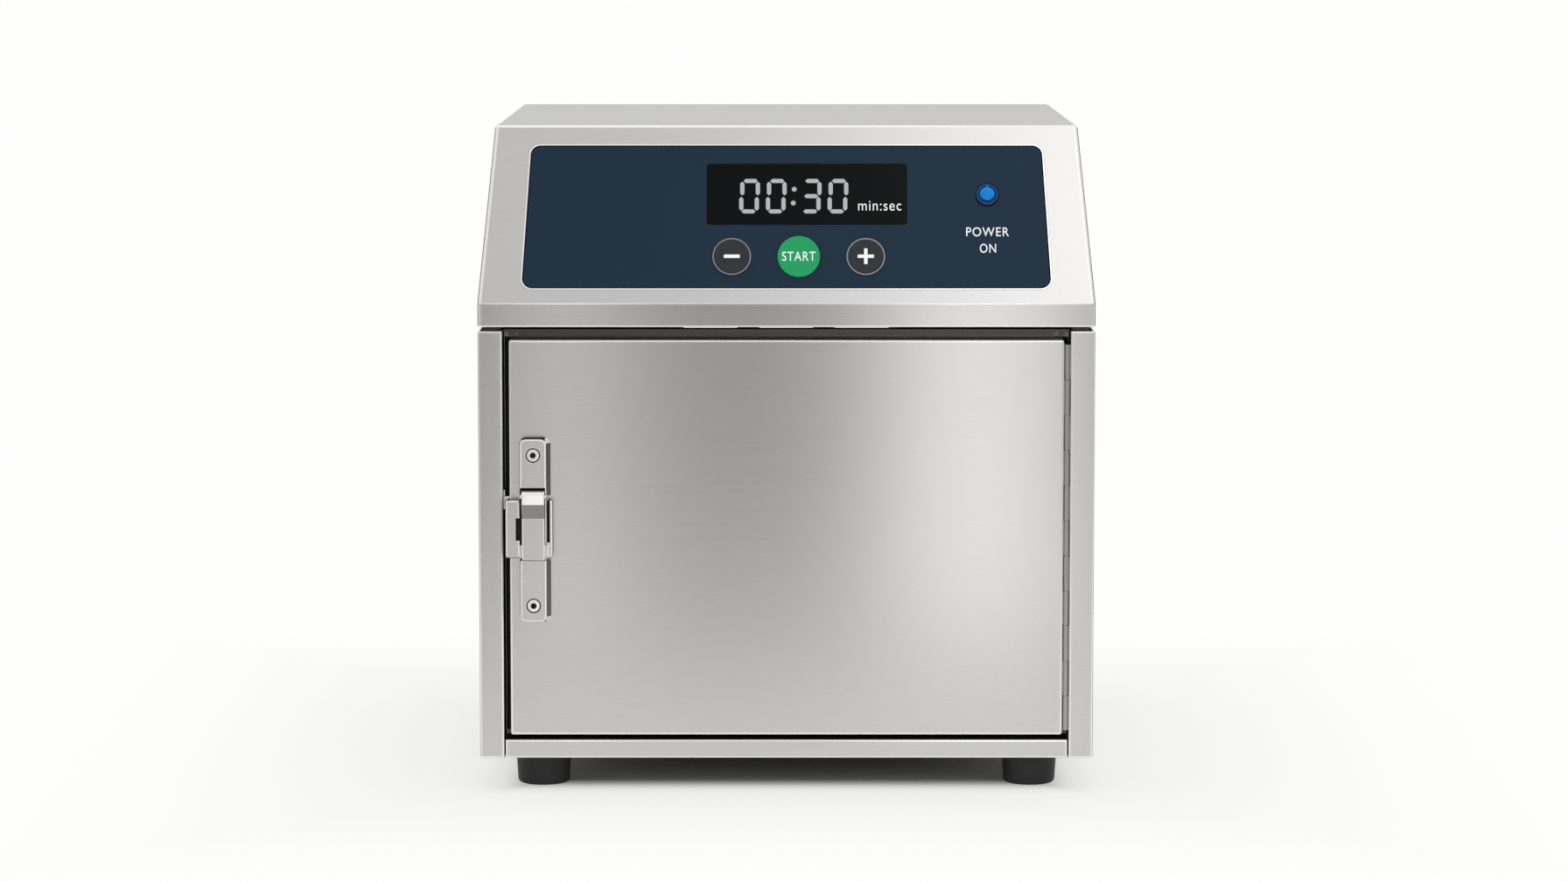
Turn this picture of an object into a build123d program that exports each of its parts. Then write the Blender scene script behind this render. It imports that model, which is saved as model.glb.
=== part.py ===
"""Paddle blender homogenizer: a bench machine that kneads a sample bag between two paddles and its door.

Sizes are in millimetres. X runs to the right, Y to the back and Z up, and the front faces -Y.
The origin lies on the surface the machine stands on, below the centre of its bounding box.
"""

import math
import os

from build123d import *

# ---------------------------------------------------------------- driving dimensions
# Casing
BODY_WIDTH = 380.0
BODY_DEPTH = 360.0
BODY_HEIGHT = 266.0
FOOT_HEIGHT = 20.0
SHEET = 1.5
SHEET_GAP = 0.2
POST_WIDTH = 15.0
POST_DEPTH = 24.0
POST_EDGE_RADIUS = 1.2
FLANGE = 12.0
RAIL_HEIGHT = 11.5
RAIL_END_GAP = 0.7
HEADER_SETBACK = 12.0
HEADER_HEIGHT = 3.5
HEADER_END_GAP = 0.3
HEADER_LIP_FROM_END = 2.8
HEADER_TAB = 3.6
HEADER_SLOT = 2.8

# Hood and its sloping control face
HOOD_GAP = 2.5
HOOD_OVERHANG = 2.0
LIP_HEIGHT = 14.5
SLOPE_RISE = 107.8
SLOPE_SETBACK = 41.0
HOOD_LEAN = 9.5
HOOD_EDGE_RADIUS = 2.5
LIP_EDGE_RADIUS = 1.0
BRACKET_HEIGHT = 24.0
BRACKET_LENGTH = 260.0
BRACKET_FROM_FRONT = 70.0

# Control face: places are (across, up the slope from the crease above the lip)
PANEL_LOW = 9.8
PANEL_HIGH = 102.0
PANEL_HALF_LOW = 163.0
PANEL_HALF_HIGH = 158.0
PANEL_CORNER = 6.2
PANEL_THICKNESS = 0.6
RECESS_DEPTH = 0.8
RECESS_GAP = 0.5
RECESS_CHAMFER = 0.6
DISPLAY_X = 12.6
DISPLAY_S = 70.5
DISPLAY_WIDTH = 123.3
DISPLAY_HEIGHT = 39.0
DISPLAY_CORNER = 1.8
DISPLAY_FIT = 0.25
DISPLAY_SINK = 0.2
DISPLAY_GLASS = 2.2
MODULE_DEPTH = 10.0
MODULE_MARGIN = 3.0
DIGIT_HEIGHT = 22.3
DIGIT_WIDTH = 12.2
DIGIT_STROKE = 2.6
DIGIT_GAP = 0.45
DIGIT_SLANT = 0.065
DIGIT_PITCH = 16.5
COLON_SPACE = 5.1
COLON_RADIUS = 1.5
DIGIT_THICKNESS = 0.15
DIGITS_X = -29.6
DIGITS_S = 58.1
BUTTON_S = 30.1
START_X = 7.6
BUTTON_PITCH = 41.25
START_RADIUS = 13.1
KEY_RADIUS = 10.8
KEY_RING_WIDTH = 0.9
KEY_RING_HEIGHT = 0.9
BUTTON_FIT = 0.2
BUTTON_PROUD = 1.3
BUTTON_TRAVEL = 0.9
BUTTON_REST_GAP = 0.3
BUTTON_FLANGE = 1.5
BUTTON_FLANGE_THICKNESS = 1.2
BUTTON_EDGE = 0.4
STEM_RADIUS = 3.0
STEM_LENGTH = 4.0
SWITCH_SIZE = 10.0
BOARD = 1.6
BOARD_MARGIN = 8.0
STUD_RADIUS = 2.5
LAMP_X = 124.0
LAMP_S = 70.0
LAMP_BEZEL_RADIUS = 7.15
LAMP_BEZEL_HEIGHT = 1.2
LAMP_FLANGE_RADIUS = 6.15
LAMP_FLANGE_HEIGHT = 0.7
LAMP_DOME_RADIUS = 4.65
LAMP_DOME_HEIGHT = 1.8
LAMP_BARREL_RADIUS = 5.4
LAMP_BORE_RADIUS = 4.2
LAMP_DEPTH = 9.0
LAMP_FIT = 0.1

# Door
DOOR_SIDE_GAP = 4.0
DOOR_SILL_GAP = 3.0
DOOR_HEAD_GAP = 5.5
DOOR_SHELL_DEPTH = 18.5
DOOR_EDGE_RADIUS = 1.4
DOOR_CORNER_RADIUS = 1.6
DOOR_PLATE = 1.5
DOOR_PLATE_INSET = 1.0
SEAL_INSET = 11.0
SEAL_WIDTH = 8.0
SEAL_CORNER = 6.0
SEAL_GAP = 0.3
PRESSURE_SIDE_GAP = 14.0
PRESSURE_END_GAP = 6.0
PRESSURE_THICKNESS = 8.0
PRESSURE_EDGE = 2.0
PRESSURE_CORNER = 10.0

# Door hinge, which stands in the gap on the right
HINGE_PIN_RADIUS = 0.9
HINGE_FIT = 0.05
HINGE_KNUCKLE_RADIUS = 1.6
HINGE_KNUCKLES = 11
HINGE_AXIAL_GAP = 0.4
HINGE_LEAF = 0.8
HINGE_LEAF_WIDTH = 15.0
HINGE_END = 3.0
HINGE_CLEARANCE = 0.5

# Latch: rises are measured up from the lower end of its housing, and "proud" out from the door's face
LATCH_FROM_EDGE = 15.0
LATCH_WIDTH = 16.2
LATCH_LENGTH = 113.4
LATCH_BOTTOM_RISE = 71.9
LATCH_THICKNESS = 8.0
LATCH_BASE = 1.2
LATCH_WALL = 0.7
LATCH_WALL_PROUD = 6.2
LATCH_CORNER = 3.8
LATCH_EDGE = 1.0
LATCH_FLANK_PROUD = 5.5
LATCH_LEFT_FLANK = 0.6
LATCH_RIGHT_FLANK = 2.4
LEVER_EDGE = 0.8
LEVER_BEND = 0.8
ARM_EDGE = 0.9
ARM_CORNER = 1.2
LATCH_GAP = 0.35
WINDOW_LOW = 38.0
WINDOW_HIGH = 83.3
PIVOT_RISE = 77.7
PIVOT_PROUD = 6.0
HUB_RADIUS = 3.8
APEX_PROUD = 11.2
APEX_DROP = 4.4
FACE_DROP = 13.6
LATCH_PIN_RADIUS = 1.6
LATCH_PIN_FIT = 0.05
ARM_LOW = 39.7
ARM_HIGH = 75.5
ARM_BACK_PROUD = 0.6
BRIDGE_LENGTH = 8.0
BRIDGE_SINK = 0.5
HOOK_BLOCK_WIDTH = 7.7
HOOK_NOTCH_WIDTH = 1.5
HOOK_NOTCH_DEPTH = 3.0
HOOK_NOTCH_LENGTH = 14.0
CHEEK_WIDTH = 3.4
CHEEK_SLOT_WIDTH = 1.8
CHEEK_SLOT_LENGTH = 26.0
HOOK_WEB = 1.4
HOOK_WEB_DROP = 19.0
HOOK_CLAW = 2.8
HOOK_CLAW_RISE = 1.5
HOOK_GRIP = 0.6
KEEPER_RADIUS = 2.0
KEEPER_SETBACK = 11.0
KEEPER_DROP = 3.0
KEEPER_PLATE = 1.0
KEEPER_PLATE_SIZE = 12.0
KEEPER_END_GAP = 0.4
SCREW_HEAD_RADIUS = 3.9
SCREW_SHANK_RADIUS = 2.0
SCREW_HEAD_HEIGHT = 1.6
SCREW_SEAT_GAP = 0.7
SCREW_CHAMFER = 0.35
SCREW_HOLE_GAP = 0.2
SCREW_LENGTH = 14.0
SCREW_FROM_END = 10.0
SCREW_SOCKET = 1.1

# Feet
FOOT_RADIUS = 17.2
FOOT_TIP_RADIUS = 16.0
FOOT_EDGE = 2.6
FOOT_FROM_SIDE = 38.0
FOOT_FROM_FRONT = 31.0
FOOT_FROM_BACK = 34.0
FOOT_BORE = 5.5
FOOT_BORE_DEPTH = 9.0
FOOT_SCREW_RADIUS = 2.5
FOOT_SCREW_HEAD_RADIUS = 4.4
FOOT_SCREW_HEAD_HEIGHT = 4.0
FOOT_SCREW_GAP = 0.2
FOOT_NUT_RADIUS = 5.0
FOOT_NUT_HEIGHT = 5.0

# Blending chamber and paddles
CHAMBER_SIDE_MARGIN = 16.0
CHAMBER_END_MARGIN = 4.0
CHAMBER_DEPTH = 52.0
PADDLE_SIDE_GAP = 18.0
PADDLE_MIDDLE_GAP = 12.0
PADDLE_END_GAP = 15.0
PADDLE_THICKNESS = 12.0
PADDLE_CORNER = 14.0
PADDLE_EDGE = 4.0
PADDLE_FRONT = 50.0
THROW = 6.0
ROD_RADIUS = 7.0
ROD_SPAN = 90.0
ROD_SOCKET = 7.0
ROD_FIT = 0.05
BUSH_RADIUS = 11.0
BUSH_FLANGE_RADIUS = 14.0
BUSH_FLANGE = 2.0

# Drive
CRANKCASE_WIDTH = 224.0
CRANKCASE_HEIGHT = 144.0
CRANKCASE_DEPTH = 84.0
CRANKCASE_WALL = 8.0
CRANKCASE_FRONT = 10.0
CRANKCASE_COVER = 6.0
CRANKCASE_LEG = 26.0
CRANK_SETBACK = 49.0
CROSSHEAD_WIDTH = 14.0
CROSSHEAD_BAR = 12.0
CROSSHEAD_WALL = 6.0
CROSSHEAD_END = 11.0
CROSSHEAD_GAP = 0.5
SHAFT_RADIUS = 8.0
SHAFT_FIT = 0.05
CRANK_PIN_RADIUS = 4.0
WEB_RADIUS = 14.5
WEB_THICKNESS = 6.0
WEB_GAP = 1.0
BEARING_RADIUS = 16.0
CRANK_PULLEY_RADIUS = 36.0
MOTOR_PULLEY_RADIUS = 18.0
PULLEY_WIDTH = 15.0
PULLEY_RIM = 2.0
PULLEY_RIM_HEIGHT = 3.0
PULLEY_FROM_CASE = 9.0
BELT_THICKNESS = 4.0
BELT_GAP = 0.3
MOTOR_RADIUS = 42.0
MOTOR_LENGTH = 150.0
MOTOR_DEPTH = 252.0
MOTOR_CLEARANCE = 16.0
MOTOR_FOOT_WIDTH = 30.0
MOTOR_SHAFT_RADIUS = 6.0
MOTOR_SHAFT_SOCKET = 60.0

# Power supply and door sensor
SUPPLY_WIDTH = 104.0
SUPPLY_HEIGHT = 48.0
SUPPLY_FROM_SIDE = 72.0
SUPPLY_FROM_CASE = 24.8
SUPPLY_FROM_BACK = 60.0
SENSOR_FROM_SIDE = 50.0
SENSOR_WIDTH = 22.0
SENSOR_HEIGHT = 6.0
SENSOR_DEPTH = 8.0
MAGNET_DEPTH = 3.0

# Rear panel, with the power inlet, switch and fuse drawer in one module
VENT_LENGTH = 38.0
VENT_HEIGHT = 5.0
VENT_PITCH = 11.0
VENT_ROWS = 7
VENT_COLUMNS = 3
VENT_COLUMN_PITCH = 52.0
VENT_FROM_FLOOR = 190.0
INLET_FROM_SIDE = 70.0
INLET_Z = 84.0
INLET_WIDTH = 40.0
INLET_HEIGHT = 72.0
INLET_FLANGE = 2.5
INLET_MARGIN = 3.0
INLET_DEPTH = 30.0
INLET_CORNER = 3.0
SOCKET_WIDTH = 27.5
SOCKET_HEIGHT = 19.5
SOCKET_DEPTH = 18.0
SOCKET_RISE = -19.0
SOCKET_CORNER = 3.0
BLADE_LENGTH = 12.0
BLADE_WIDTH = 4.0
BLADE_THICKNESS = 2.0
BLADE_PITCH = 7.0
BLADE_STAGGER = 2.0
ROCKER_RISE = 18.0
ROCKER_WIDTH = 12.0
ROCKER_HEIGHT = 22.0
ROCKER_DEPTH = 9.0
ROCKER_PROUD = 3.0
ROCKER_EDGE = 1.5
ROCKER_TILT = 8.0
ROCKER_GAP = 0.6
ROCKER_PIVOT = 3.0
ROCKER_STUB_RADIUS = 1.6
ROCKER_STUB_FIT = 0.05
DRAWER_RISE = -1.0
DRAWER_WIDTH = 24.0
DRAWER_HEIGHT = 7.5
DRAWER_LENGTH = 24.0
DRAWER_PROUD = 1.2
DRAWER_GAP = 0.25
PANEL_SCREW_HEAD = 3.6
PANEL_SCREW_HEIGHT = 2.0
PANEL_SCREW_RADIUS = 1.9
PANEL_SCREW_LENGTH = 8.0
PANEL_SCREW_ROWS = 3

# ---------------------------------------------------------------- places worked out from them
REAR_INSET = SHEET + SHEET_GAP
ROCKER_REACH = (
    ROCKER_EDGE
    + (ROCKER_PIVOT + ROCKER_PROUD - ROCKER_EDGE) * math.cos(math.radians(ROCKER_TILT))
    + (ROCKER_HEIGHT / 2 - ROCKER_EDGE) * math.sin(math.radians(ROCKER_TILT))
    - ROCKER_PIVOT
)
REAR_PROUD = max(PANEL_SCREW_HEIGHT, INLET_FLANGE + ROCKER_REACH - REAR_INSET)
FRONT = -(BODY_DEPTH + REAR_PROUD - APEX_PROUD) / 2
BACK = FRONT + BODY_DEPTH
HALF_WIDTH = BODY_WIDTH / 2
INNER_HALF = HALF_WIDTH - SHEET - SHEET_GAP
POST_INNER = HALF_WIDTH - POST_WIDTH
FLOOR_Z = FOOT_HEIGHT + SHEET
BODY_TOP = FOOT_HEIGHT + BODY_HEIGHT
RAIL_TOP = FOOT_HEIGHT + RAIL_HEIGHT

HOOD_BOTTOM = BODY_TOP + HOOD_GAP
CREASE_Z = HOOD_BOTTOM + LIP_HEIGHT
HOOD_TOP = CREASE_Z + SLOPE_RISE
HOOD_FRONT = FRONT - HOOD_OVERHANG
FACE = Plane(
    origin=(0, HOOD_FRONT, CREASE_Z),
    x_dir=(1, 0, 0),
    z_dir=(0, -SLOPE_RISE, SLOPE_SETBACK),
)

PANEL_TOP = PANEL_THICKNESS - RECESS_DEPTH
GLASS_TOP = PANEL_TOP - DISPLAY_SINK
GLASS_BOTTOM = GLASS_TOP - DISPLAY_GLASS
BOARD_TOP = GLASS_BOTTOM - MODULE_DEPTH
RING_RADIUS = KEY_RADIUS + BUTTON_FIT + KEY_RING_WIDTH
MINUS_X = START_X - BUTTON_PITCH
PLUS_X = START_X + BUTTON_PITCH

DOOR_HALF = POST_INNER - DOOR_SIDE_GAP
DOOR_LOW = RAIL_TOP + DOOR_SILL_GAP
DOOR_HIGH = BODY_TOP - DOOR_HEAD_GAP
DOOR_MID = (DOOR_LOW + DOOR_HIGH) / 2
DOOR_BACK = DOOR_SHELL_DEPTH + DOOR_PLATE
SEAL_SPAN = 2 * (DOOR_HALF - SEAL_INSET - SEAL_WIDTH)
SEAL_RISE = DOOR_HIGH - DOOR_LOW - 2 * (SEAL_INSET + SEAL_WIDTH)
CHAMBER_WIDTH = SEAL_SPAN - 2 * CHAMBER_SIDE_MARGIN
CHAMBER_HEIGHT = SEAL_RISE - 2 * CHAMBER_END_MARGIN
PRESSURE_WIDTH = CHAMBER_WIDTH - 2 * PRESSURE_SIDE_GAP
PRESSURE_HEIGHT = CHAMBER_HEIGHT - 2 * PRESSURE_END_GAP
PADDLE_WIDTH = (CHAMBER_WIDTH - PADDLE_MIDDLE_GAP) / 2 - PADDLE_SIDE_GAP
PADDLE_HEIGHT = CHAMBER_HEIGHT - 2 * PADDLE_END_GAP
PADDLE_PITCH = PADDLE_WIDTH + PADDLE_MIDDLE_GAP
CHAMBER_FACE = POST_DEPTH + SHEET_GAP
CHAMBER_BACK = CHAMBER_FACE + CHAMBER_DEPTH
HINGE_X = POST_INNER - DOOR_SIDE_GAP / 2
HINGE_Y = FRONT + HINGE_KNUCKLE_RADIUS

LATCH_X = -DOOR_HALF + LATCH_FROM_EDGE
LATCH_Z = DOOR_LOW + LATCH_BOTTOM_RISE
PIVOT_Z = LATCH_Z + PIVOT_RISE
KEEPER_Z = PIVOT_Z - KEEPER_DROP

ROD_LOW = DOOR_MID - ROD_SPAN / 2
ROD_HIGH = DOOR_MID + ROD_SPAN / 2
CRANK_DEPTH = CHAMBER_BACK + CRANK_SETBACK
CRANK_Y = FRONT + CRANK_DEPTH
WINDOW_HALF_DEPTH = CRANK_PIN_RADIUS + 2 * THROW + CROSSHEAD_GAP
WINDOW_HALF_HEIGHT = CRANK_PIN_RADIUS + THROW + CROSSHEAD_GAP
CROSSHEAD_FRONT = CRANK_DEPTH - WINDOW_HALF_DEPTH - CROSSHEAD_WALL
PULLEY_X = CRANKCASE_WIDTH / 2 + PULLEY_FROM_CASE
MOTOR_Y = FRONT + MOTOR_DEPTH
SUPPLY_X = SUPPLY_FROM_SIDE - HALF_WIDTH
SENSOR_X = SENSOR_FROM_SIDE - HALF_WIDTH
INLET_X = INLET_FROM_SIDE - HALF_WIDTH
MOTOR_Z = FLOOR_Z + MOTOR_CLEARANCE + MOTOR_RADIUS

SIDES = {"left": -1, "right": 1}
CUT = 1.0


# ---------------------------------------------------------------- building blocks
def block(xs, depths, zs):
    """Box between two values of X, two depths behind the front plane and two values of Z."""
    size = [high - low for low, high in (xs, depths, zs)]
    middle = [(low + high) / 2 for low, high in (xs, depths, zs)]
    return Pos(middle[0], FRONT + middle[1], middle[2]) * Box(*size)


def side_block(side, xs, depths, zs):
    """The same box, with X measured outward to the left (-1) or the right (1)."""
    return block(sorted(side * x for x in xs), depths, zs)


def front_plane(depth):
    """Plane parallel to the front, at a depth behind it, for front-view outlines (X, Z)."""
    return Plane(origin=(0, FRONT + depth, 0), x_dir=(1, 0, 0), z_dir=(0, -1, 0))


def slab(outline, depths):
    """Solid of a front-view outline between two depths behind the front plane."""
    plane = front_plane(depths[1])
    return extrude(plane * outline, depths[1] - depths[0], dir=plane.z_dir)


def profile(outline, xs):
    """Solid of a side-view outline (Y, Z) between two values of X."""
    plane = Plane(origin=(xs[0], 0, 0), x_dir=(0, 1, 0), z_dir=(1, 0, 0))
    return extrude(plane * outline, xs[1] - xs[0], dir=plane.z_dir)


def on_face(x, s, outline, levels):
    """Solid of an outline on the sloping face between two heights above its outer surface."""
    placed = FACE.offset(levels[0]) * Pos(x, s) * outline
    return extrude(placed, levels[1] - levels[0], dir=FACE.z_dir)


def bar_x(radius, xs, y, z):
    return Pos(sum(xs) / 2, y, z) * Rot(0, 90, 0) * Cylinder(radius, xs[1] - xs[0])


def bar_y(radius, x, depths, z):
    return Pos(x, FRONT + sum(depths) / 2, z) * Rot(90, 0, 0) * Cylinder(radius, depths[1] - depths[0])


def bar_z(radius, x, y, zs):
    return Pos(x, y, sum(zs) / 2) * Cylinder(radius, zs[1] - zs[0])


def joined(shapes):
    """One solid from several."""
    result = shapes[0]
    for shape in shapes[1:]:
        result = result + shape
    return result


def group(shapes):
    """Separate solids kept in one piece list."""
    return Compound([solid for shape in shapes for solid in shape.solids()])


# ---------------------------------------------------------------- casing
def side_panel(side):
    """Folded sheet: front post with its return, side wall and rear flange."""
    zs = (FOOT_HEIGHT, BODY_TOP)
    outer = side_block(side, (POST_INNER, HALF_WIDTH), (0, BODY_DEPTH), zs)
    front_edges = outer.faces().sort_by(Axis.Y)[0].edges()
    long_edges = outer.edges().filter_by(Axis.Y).filter_by(
        lambda edge: edge.center().X * side > POST_INNER + CUT
    )
    outer = fillet(front_edges + long_edges, POST_EDGE_RADIUS)
    hollow = side_block(side, (POST_INNER + SHEET, HALF_WIDTH - SHEET), (SHEET, BODY_DEPTH - SHEET), zs)
    behind_post = side_block(side, (POST_INNER, POST_INNER + SHEET), (POST_DEPTH, BODY_DEPTH), zs)
    behind_flange = side_block(
        side, (POST_INNER, HALF_WIDTH - FLANGE), (BODY_DEPTH - SHEET, BODY_DEPTH), zs
    )
    panel = outer - hollow - behind_post - behind_flange
    for x, z in rear_screw_places():
        if x * side > 0:
            through = (BODY_DEPTH - SHEET - CUT, BODY_DEPTH + CUT)
            panel -= bar_y(PANEL_SCREW_RADIUS + SHEET_GAP, x, through, z)
    return panel


def foot_places():
    x = HALF_WIDTH - FOOT_FROM_SIDE
    return {
        "foot_front_left": (-x, FRONT + FOOT_FROM_FRONT),
        "foot_front_right": (x, FRONT + FOOT_FROM_FRONT),
        "foot_rear_left": (-x, BACK - FOOT_FROM_BACK),
        "foot_rear_right": (x, BACK - FOOT_FROM_BACK),
    }


def base_pan():
    """Bottom plate with a front rail, side and rear flanges, and a threaded boss over each foot."""
    front_half = POST_INNER - RAIL_END_GAP
    back = BODY_DEPTH - REAR_INSET - SHEET - SHEET_GAP
    wide_from = CHAMBER_FACE + SHEET + SHEET_GAP
    plate = block((-INNER_HALF, INNER_HALF), (wide_from, back), (FOOT_HEIGHT, FLOOR_Z))
    nose = block((-front_half, front_half), (0, wide_from + CUT), (FOOT_HEIGHT, FLOOR_Z))
    rail_face = block((-front_half, front_half), (0, SHEET), (FOOT_HEIGHT, RAIL_TOP))
    rail_top = block((-front_half, front_half), (0, POST_DEPTH), (RAIL_TOP - SHEET, RAIL_TOP))
    flange_zs = (FOOT_HEIGHT, FOOT_HEIGHT + FLANGE)
    left = block((-INNER_HALF, SHEET - INNER_HALF), (wide_from, back), flange_zs)
    right = block((INNER_HALF - SHEET, INNER_HALF), (wide_from, back), flange_zs)
    rear = block((-INNER_HALF, INNER_HALF), (back - SHEET, back), flange_zs)
    pan = joined([plate, nose, rail_face, rail_top, left, right, rear])
    pan = fillet(pan.faces().sort_by(Axis.Y)[0].edges(), POST_EDGE_RADIUS)
    for x, y in foot_places().values():
        pan += bar_z(FOOT_NUT_RADIUS, x, y, (FLOOR_Z, FLOOR_Z + FOOT_NUT_HEIGHT))
        pan -= bar_z(
            FOOT_SCREW_RADIUS + FOOT_SCREW_GAP, x, y, (FOOT_HEIGHT - CUT, FLOOR_Z + FOOT_NUT_HEIGHT + CUT)
        )
    return pan


def foot(x, y):
    """Rubber foot with a rounded lower edge and a screw seat sunk into it from below."""
    outline = Polyline(
        (0, 0), (FOOT_TIP_RADIUS, 0), (FOOT_RADIUS, FOOT_HEIGHT), (0, FOOT_HEIGHT), (0, 0)
    )
    body = revolve(Plane.XZ * make_face(outline), Axis.Z)
    body = fillet(body.edges().group_by(Axis.Z)[0], FOOT_EDGE)
    body -= bar_z(FOOT_BORE, 0, 0, (-CUT, FOOT_BORE_DEPTH))
    body -= bar_z(FOOT_SCREW_RADIUS + FOOT_SCREW_GAP, 0, 0, (0, FOOT_HEIGHT + CUT))
    return Pos(x, y, 0) * body


def foot_screws():
    """One screw up through each foot into its boss."""
    screws = []
    for x, y in foot_places().values():
        head_low = FOOT_BORE_DEPTH - FOOT_SCREW_HEAD_HEIGHT
        head = bar_z(FOOT_SCREW_HEAD_RADIUS, x, y, (head_low, FOOT_BORE_DEPTH))
        shank = bar_z(FOOT_SCREW_RADIUS, x, y, (FOOT_BORE_DEPTH - CUT, FLOOR_Z + FOOT_NUT_HEIGHT))
        screws.append(head + shank)
    return group(screws)


def hood_outline(bottom):
    """Side view of the hood: lip, slope, top and back."""
    return Polygon(
        (HOOD_FRONT, bottom),
        (HOOD_FRONT, CREASE_Z),
        (HOOD_FRONT + SLOPE_SETBACK, HOOD_TOP),
        (BACK, HOOD_TOP),
        (BACK, bottom),
        align=None,
    )


def hood_front_view(bottom):
    """Front view of the hood, whose sides lean in above the crease."""
    return Polygon(
        (-HALF_WIDTH, bottom),
        (-HALF_WIDTH, CREASE_Z),
        (HOOD_LEAN - HALF_WIDTH, HOOD_TOP),
        (HALF_WIDTH - HOOD_LEAN, HOOD_TOP),
        (HALF_WIDTH, CREASE_Z),
        (HALF_WIDTH, bottom),
        align=None,
    )


def panel_outline(margin):
    """Trapezoid of the control panel in slope coordinates, grown by a margin."""
    corners = Polygon(
        (-PANEL_HALF_LOW - margin, PANEL_LOW - margin),
        (PANEL_HALF_LOW + margin, PANEL_LOW - margin),
        (PANEL_HALF_HIGH + margin, PANEL_HIGH + margin),
        (-PANEL_HALF_HIGH - margin, PANEL_HIGH + margin),
        align=None,
    )
    return fillet(corners.vertices(), PANEL_CORNER + margin)


def display_outline(margin):
    return RectangleRounded(
        DISPLAY_WIDTH + 2 * margin, DISPLAY_HEIGHT + 2 * margin, DISPLAY_CORNER + margin
    )


def button_places():
    """Each button's place across the slope and its cap radius."""
    return {
        "minus_button": (MINUS_X, KEY_RADIUS),
        "start_button": (START_X, START_RADIUS),
        "plus_button": (PLUS_X, KEY_RADIUS),
    }


def stud_places():
    """Welded studs that carry the control board, at its corners."""
    half_x = DISPLAY_WIDTH / 2 + BOARD_MARGIN
    low = BUTTON_S - START_RADIUS
    high = DISPLAY_S + DISPLAY_HEIGHT / 2 + BOARD_MARGIN
    return [(DISPLAY_X + sign * half_x, s) for sign in (-1, 1) for s in (low, high)]


def hood_shell():
    """One-piece hood: lip, sloping control face, top and leaning sides, open below and behind."""
    reach = 2 * BODY_DEPTH
    outer = profile(hood_outline(HOOD_BOTTOM), (-HALF_WIDTH, HALF_WIDTH))
    outer &= slab(hood_front_view(HOOD_BOTTOM), (-reach, reach))
    shaped = outer.edges().filter_by(lambda edge: edge.center().Z > CREASE_Z - CUT)
    upright = outer.edges().filter_by(Axis.Z).group_by(Axis.Y)[0]
    outer = fillet(shaped.filter_by(lambda edge: edge.center().Y < BACK - CUT) + upright, HOOD_EDGE_RADIUS)
    lower = outer.faces().sort_by(Axis.Z)[0].edges().filter_by(lambda edge: edge.center().Y < BACK - CUT)
    outer = fillet(lower, LIP_EDGE_RADIUS)

    below = HOOD_BOTTOM - FLANGE
    side_view = offset(hood_outline(below), -SHEET, kind=Kind.INTERSECTION)
    front_view = offset(hood_front_view(below), -SHEET, kind=Kind.INTERSECTION)
    hollow = profile(side_view, (-HALF_WIDTH, HALF_WIDTH)) & slab(front_view, (-reach, reach))
    opening = offset(hood_front_view(below - FLANGE), -SHEET - FLANGE, kind=Kind.INTERSECTION)
    rear_cut = slab(opening, (BODY_DEPTH - SHEET - CUT, BODY_DEPTH + CUT))
    shell = outer - hollow - rear_cut

    recess = on_face(0, 0, panel_outline(RECESS_GAP), (-RECESS_DEPTH, CUT))
    shell -= recess
    rim = shell.edges().filter_by(
        lambda edge: abs(FACE.to_local_coords(edge.center()).Z) < SHEET / 10
        and abs(FACE.to_local_coords(edge.center()).X) < PANEL_HALF_LOW + PANEL_CORNER
        and PANEL_LOW - PANEL_CORNER < FACE.to_local_coords(edge.center()).Y < PANEL_HIGH + PANEL_CORNER
    )
    shell = chamfer(rim, RECESS_CHAMFER)
    through = (-SHEET - CUT, CUT)
    shell -= on_face(DISPLAY_X, DISPLAY_S, display_outline(DISPLAY_FIT), through)
    shell -= on_face(LAMP_X, LAMP_S, Circle(LAMP_BARREL_RADIUS + LAMP_FIT), through)
    for x, radius in button_places().values():
        shell -= on_face(x, BUTTON_S, Circle(radius + BUTTON_FIT), through)
    for x, s in stud_places():
        shell += on_face(x, s, Circle(STUD_RADIUS), (BOARD_TOP, -SHEET))
    return shell


def hood_brackets():
    """Bars inside the side walls that tie the hood to the side panels."""
    depths = (BRACKET_FROM_FRONT, BRACKET_FROM_FRONT + BRACKET_LENGTH)
    middle = BODY_TOP + HOOD_GAP / 2
    zs = (middle - BRACKET_HEIGHT / 2, middle + BRACKET_HEIGHT / 2)
    return group([side_block(side, (INNER_HALF - SHEET, INNER_HALF), depths, zs) for side in (-1, 1)])


def front_header():
    """Recessed cross-member above the door, joining the posts, with a drip lip that ends in tabs."""
    half = POST_INNER - HEADER_END_GAP
    lip_half = half - HEADER_LIP_FROM_END
    top = block((-half, half), (HEADER_SETBACK, CHAMBER_FACE), (BODY_TOP - SHEET, BODY_TOP))
    depths = (HEADER_SETBACK, HEADER_SETBACK + SHEET)
    lip = block((-lip_half, lip_half), depths, (BODY_TOP - HEADER_HEIGHT, BODY_TOP))
    slot_out = lip_half - HEADER_TAB
    slot_depths = (HEADER_SETBACK - CUT, HEADER_SETBACK + SHEET + CUT)
    slot_zs = (BODY_TOP - HEADER_HEIGHT - CUT, BODY_TOP + CUT)
    for side in (-1, 1):
        lip -= side_block(side, (slot_out - HEADER_SLOT, slot_out), slot_depths, slot_zs)
    return top + lip


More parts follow.
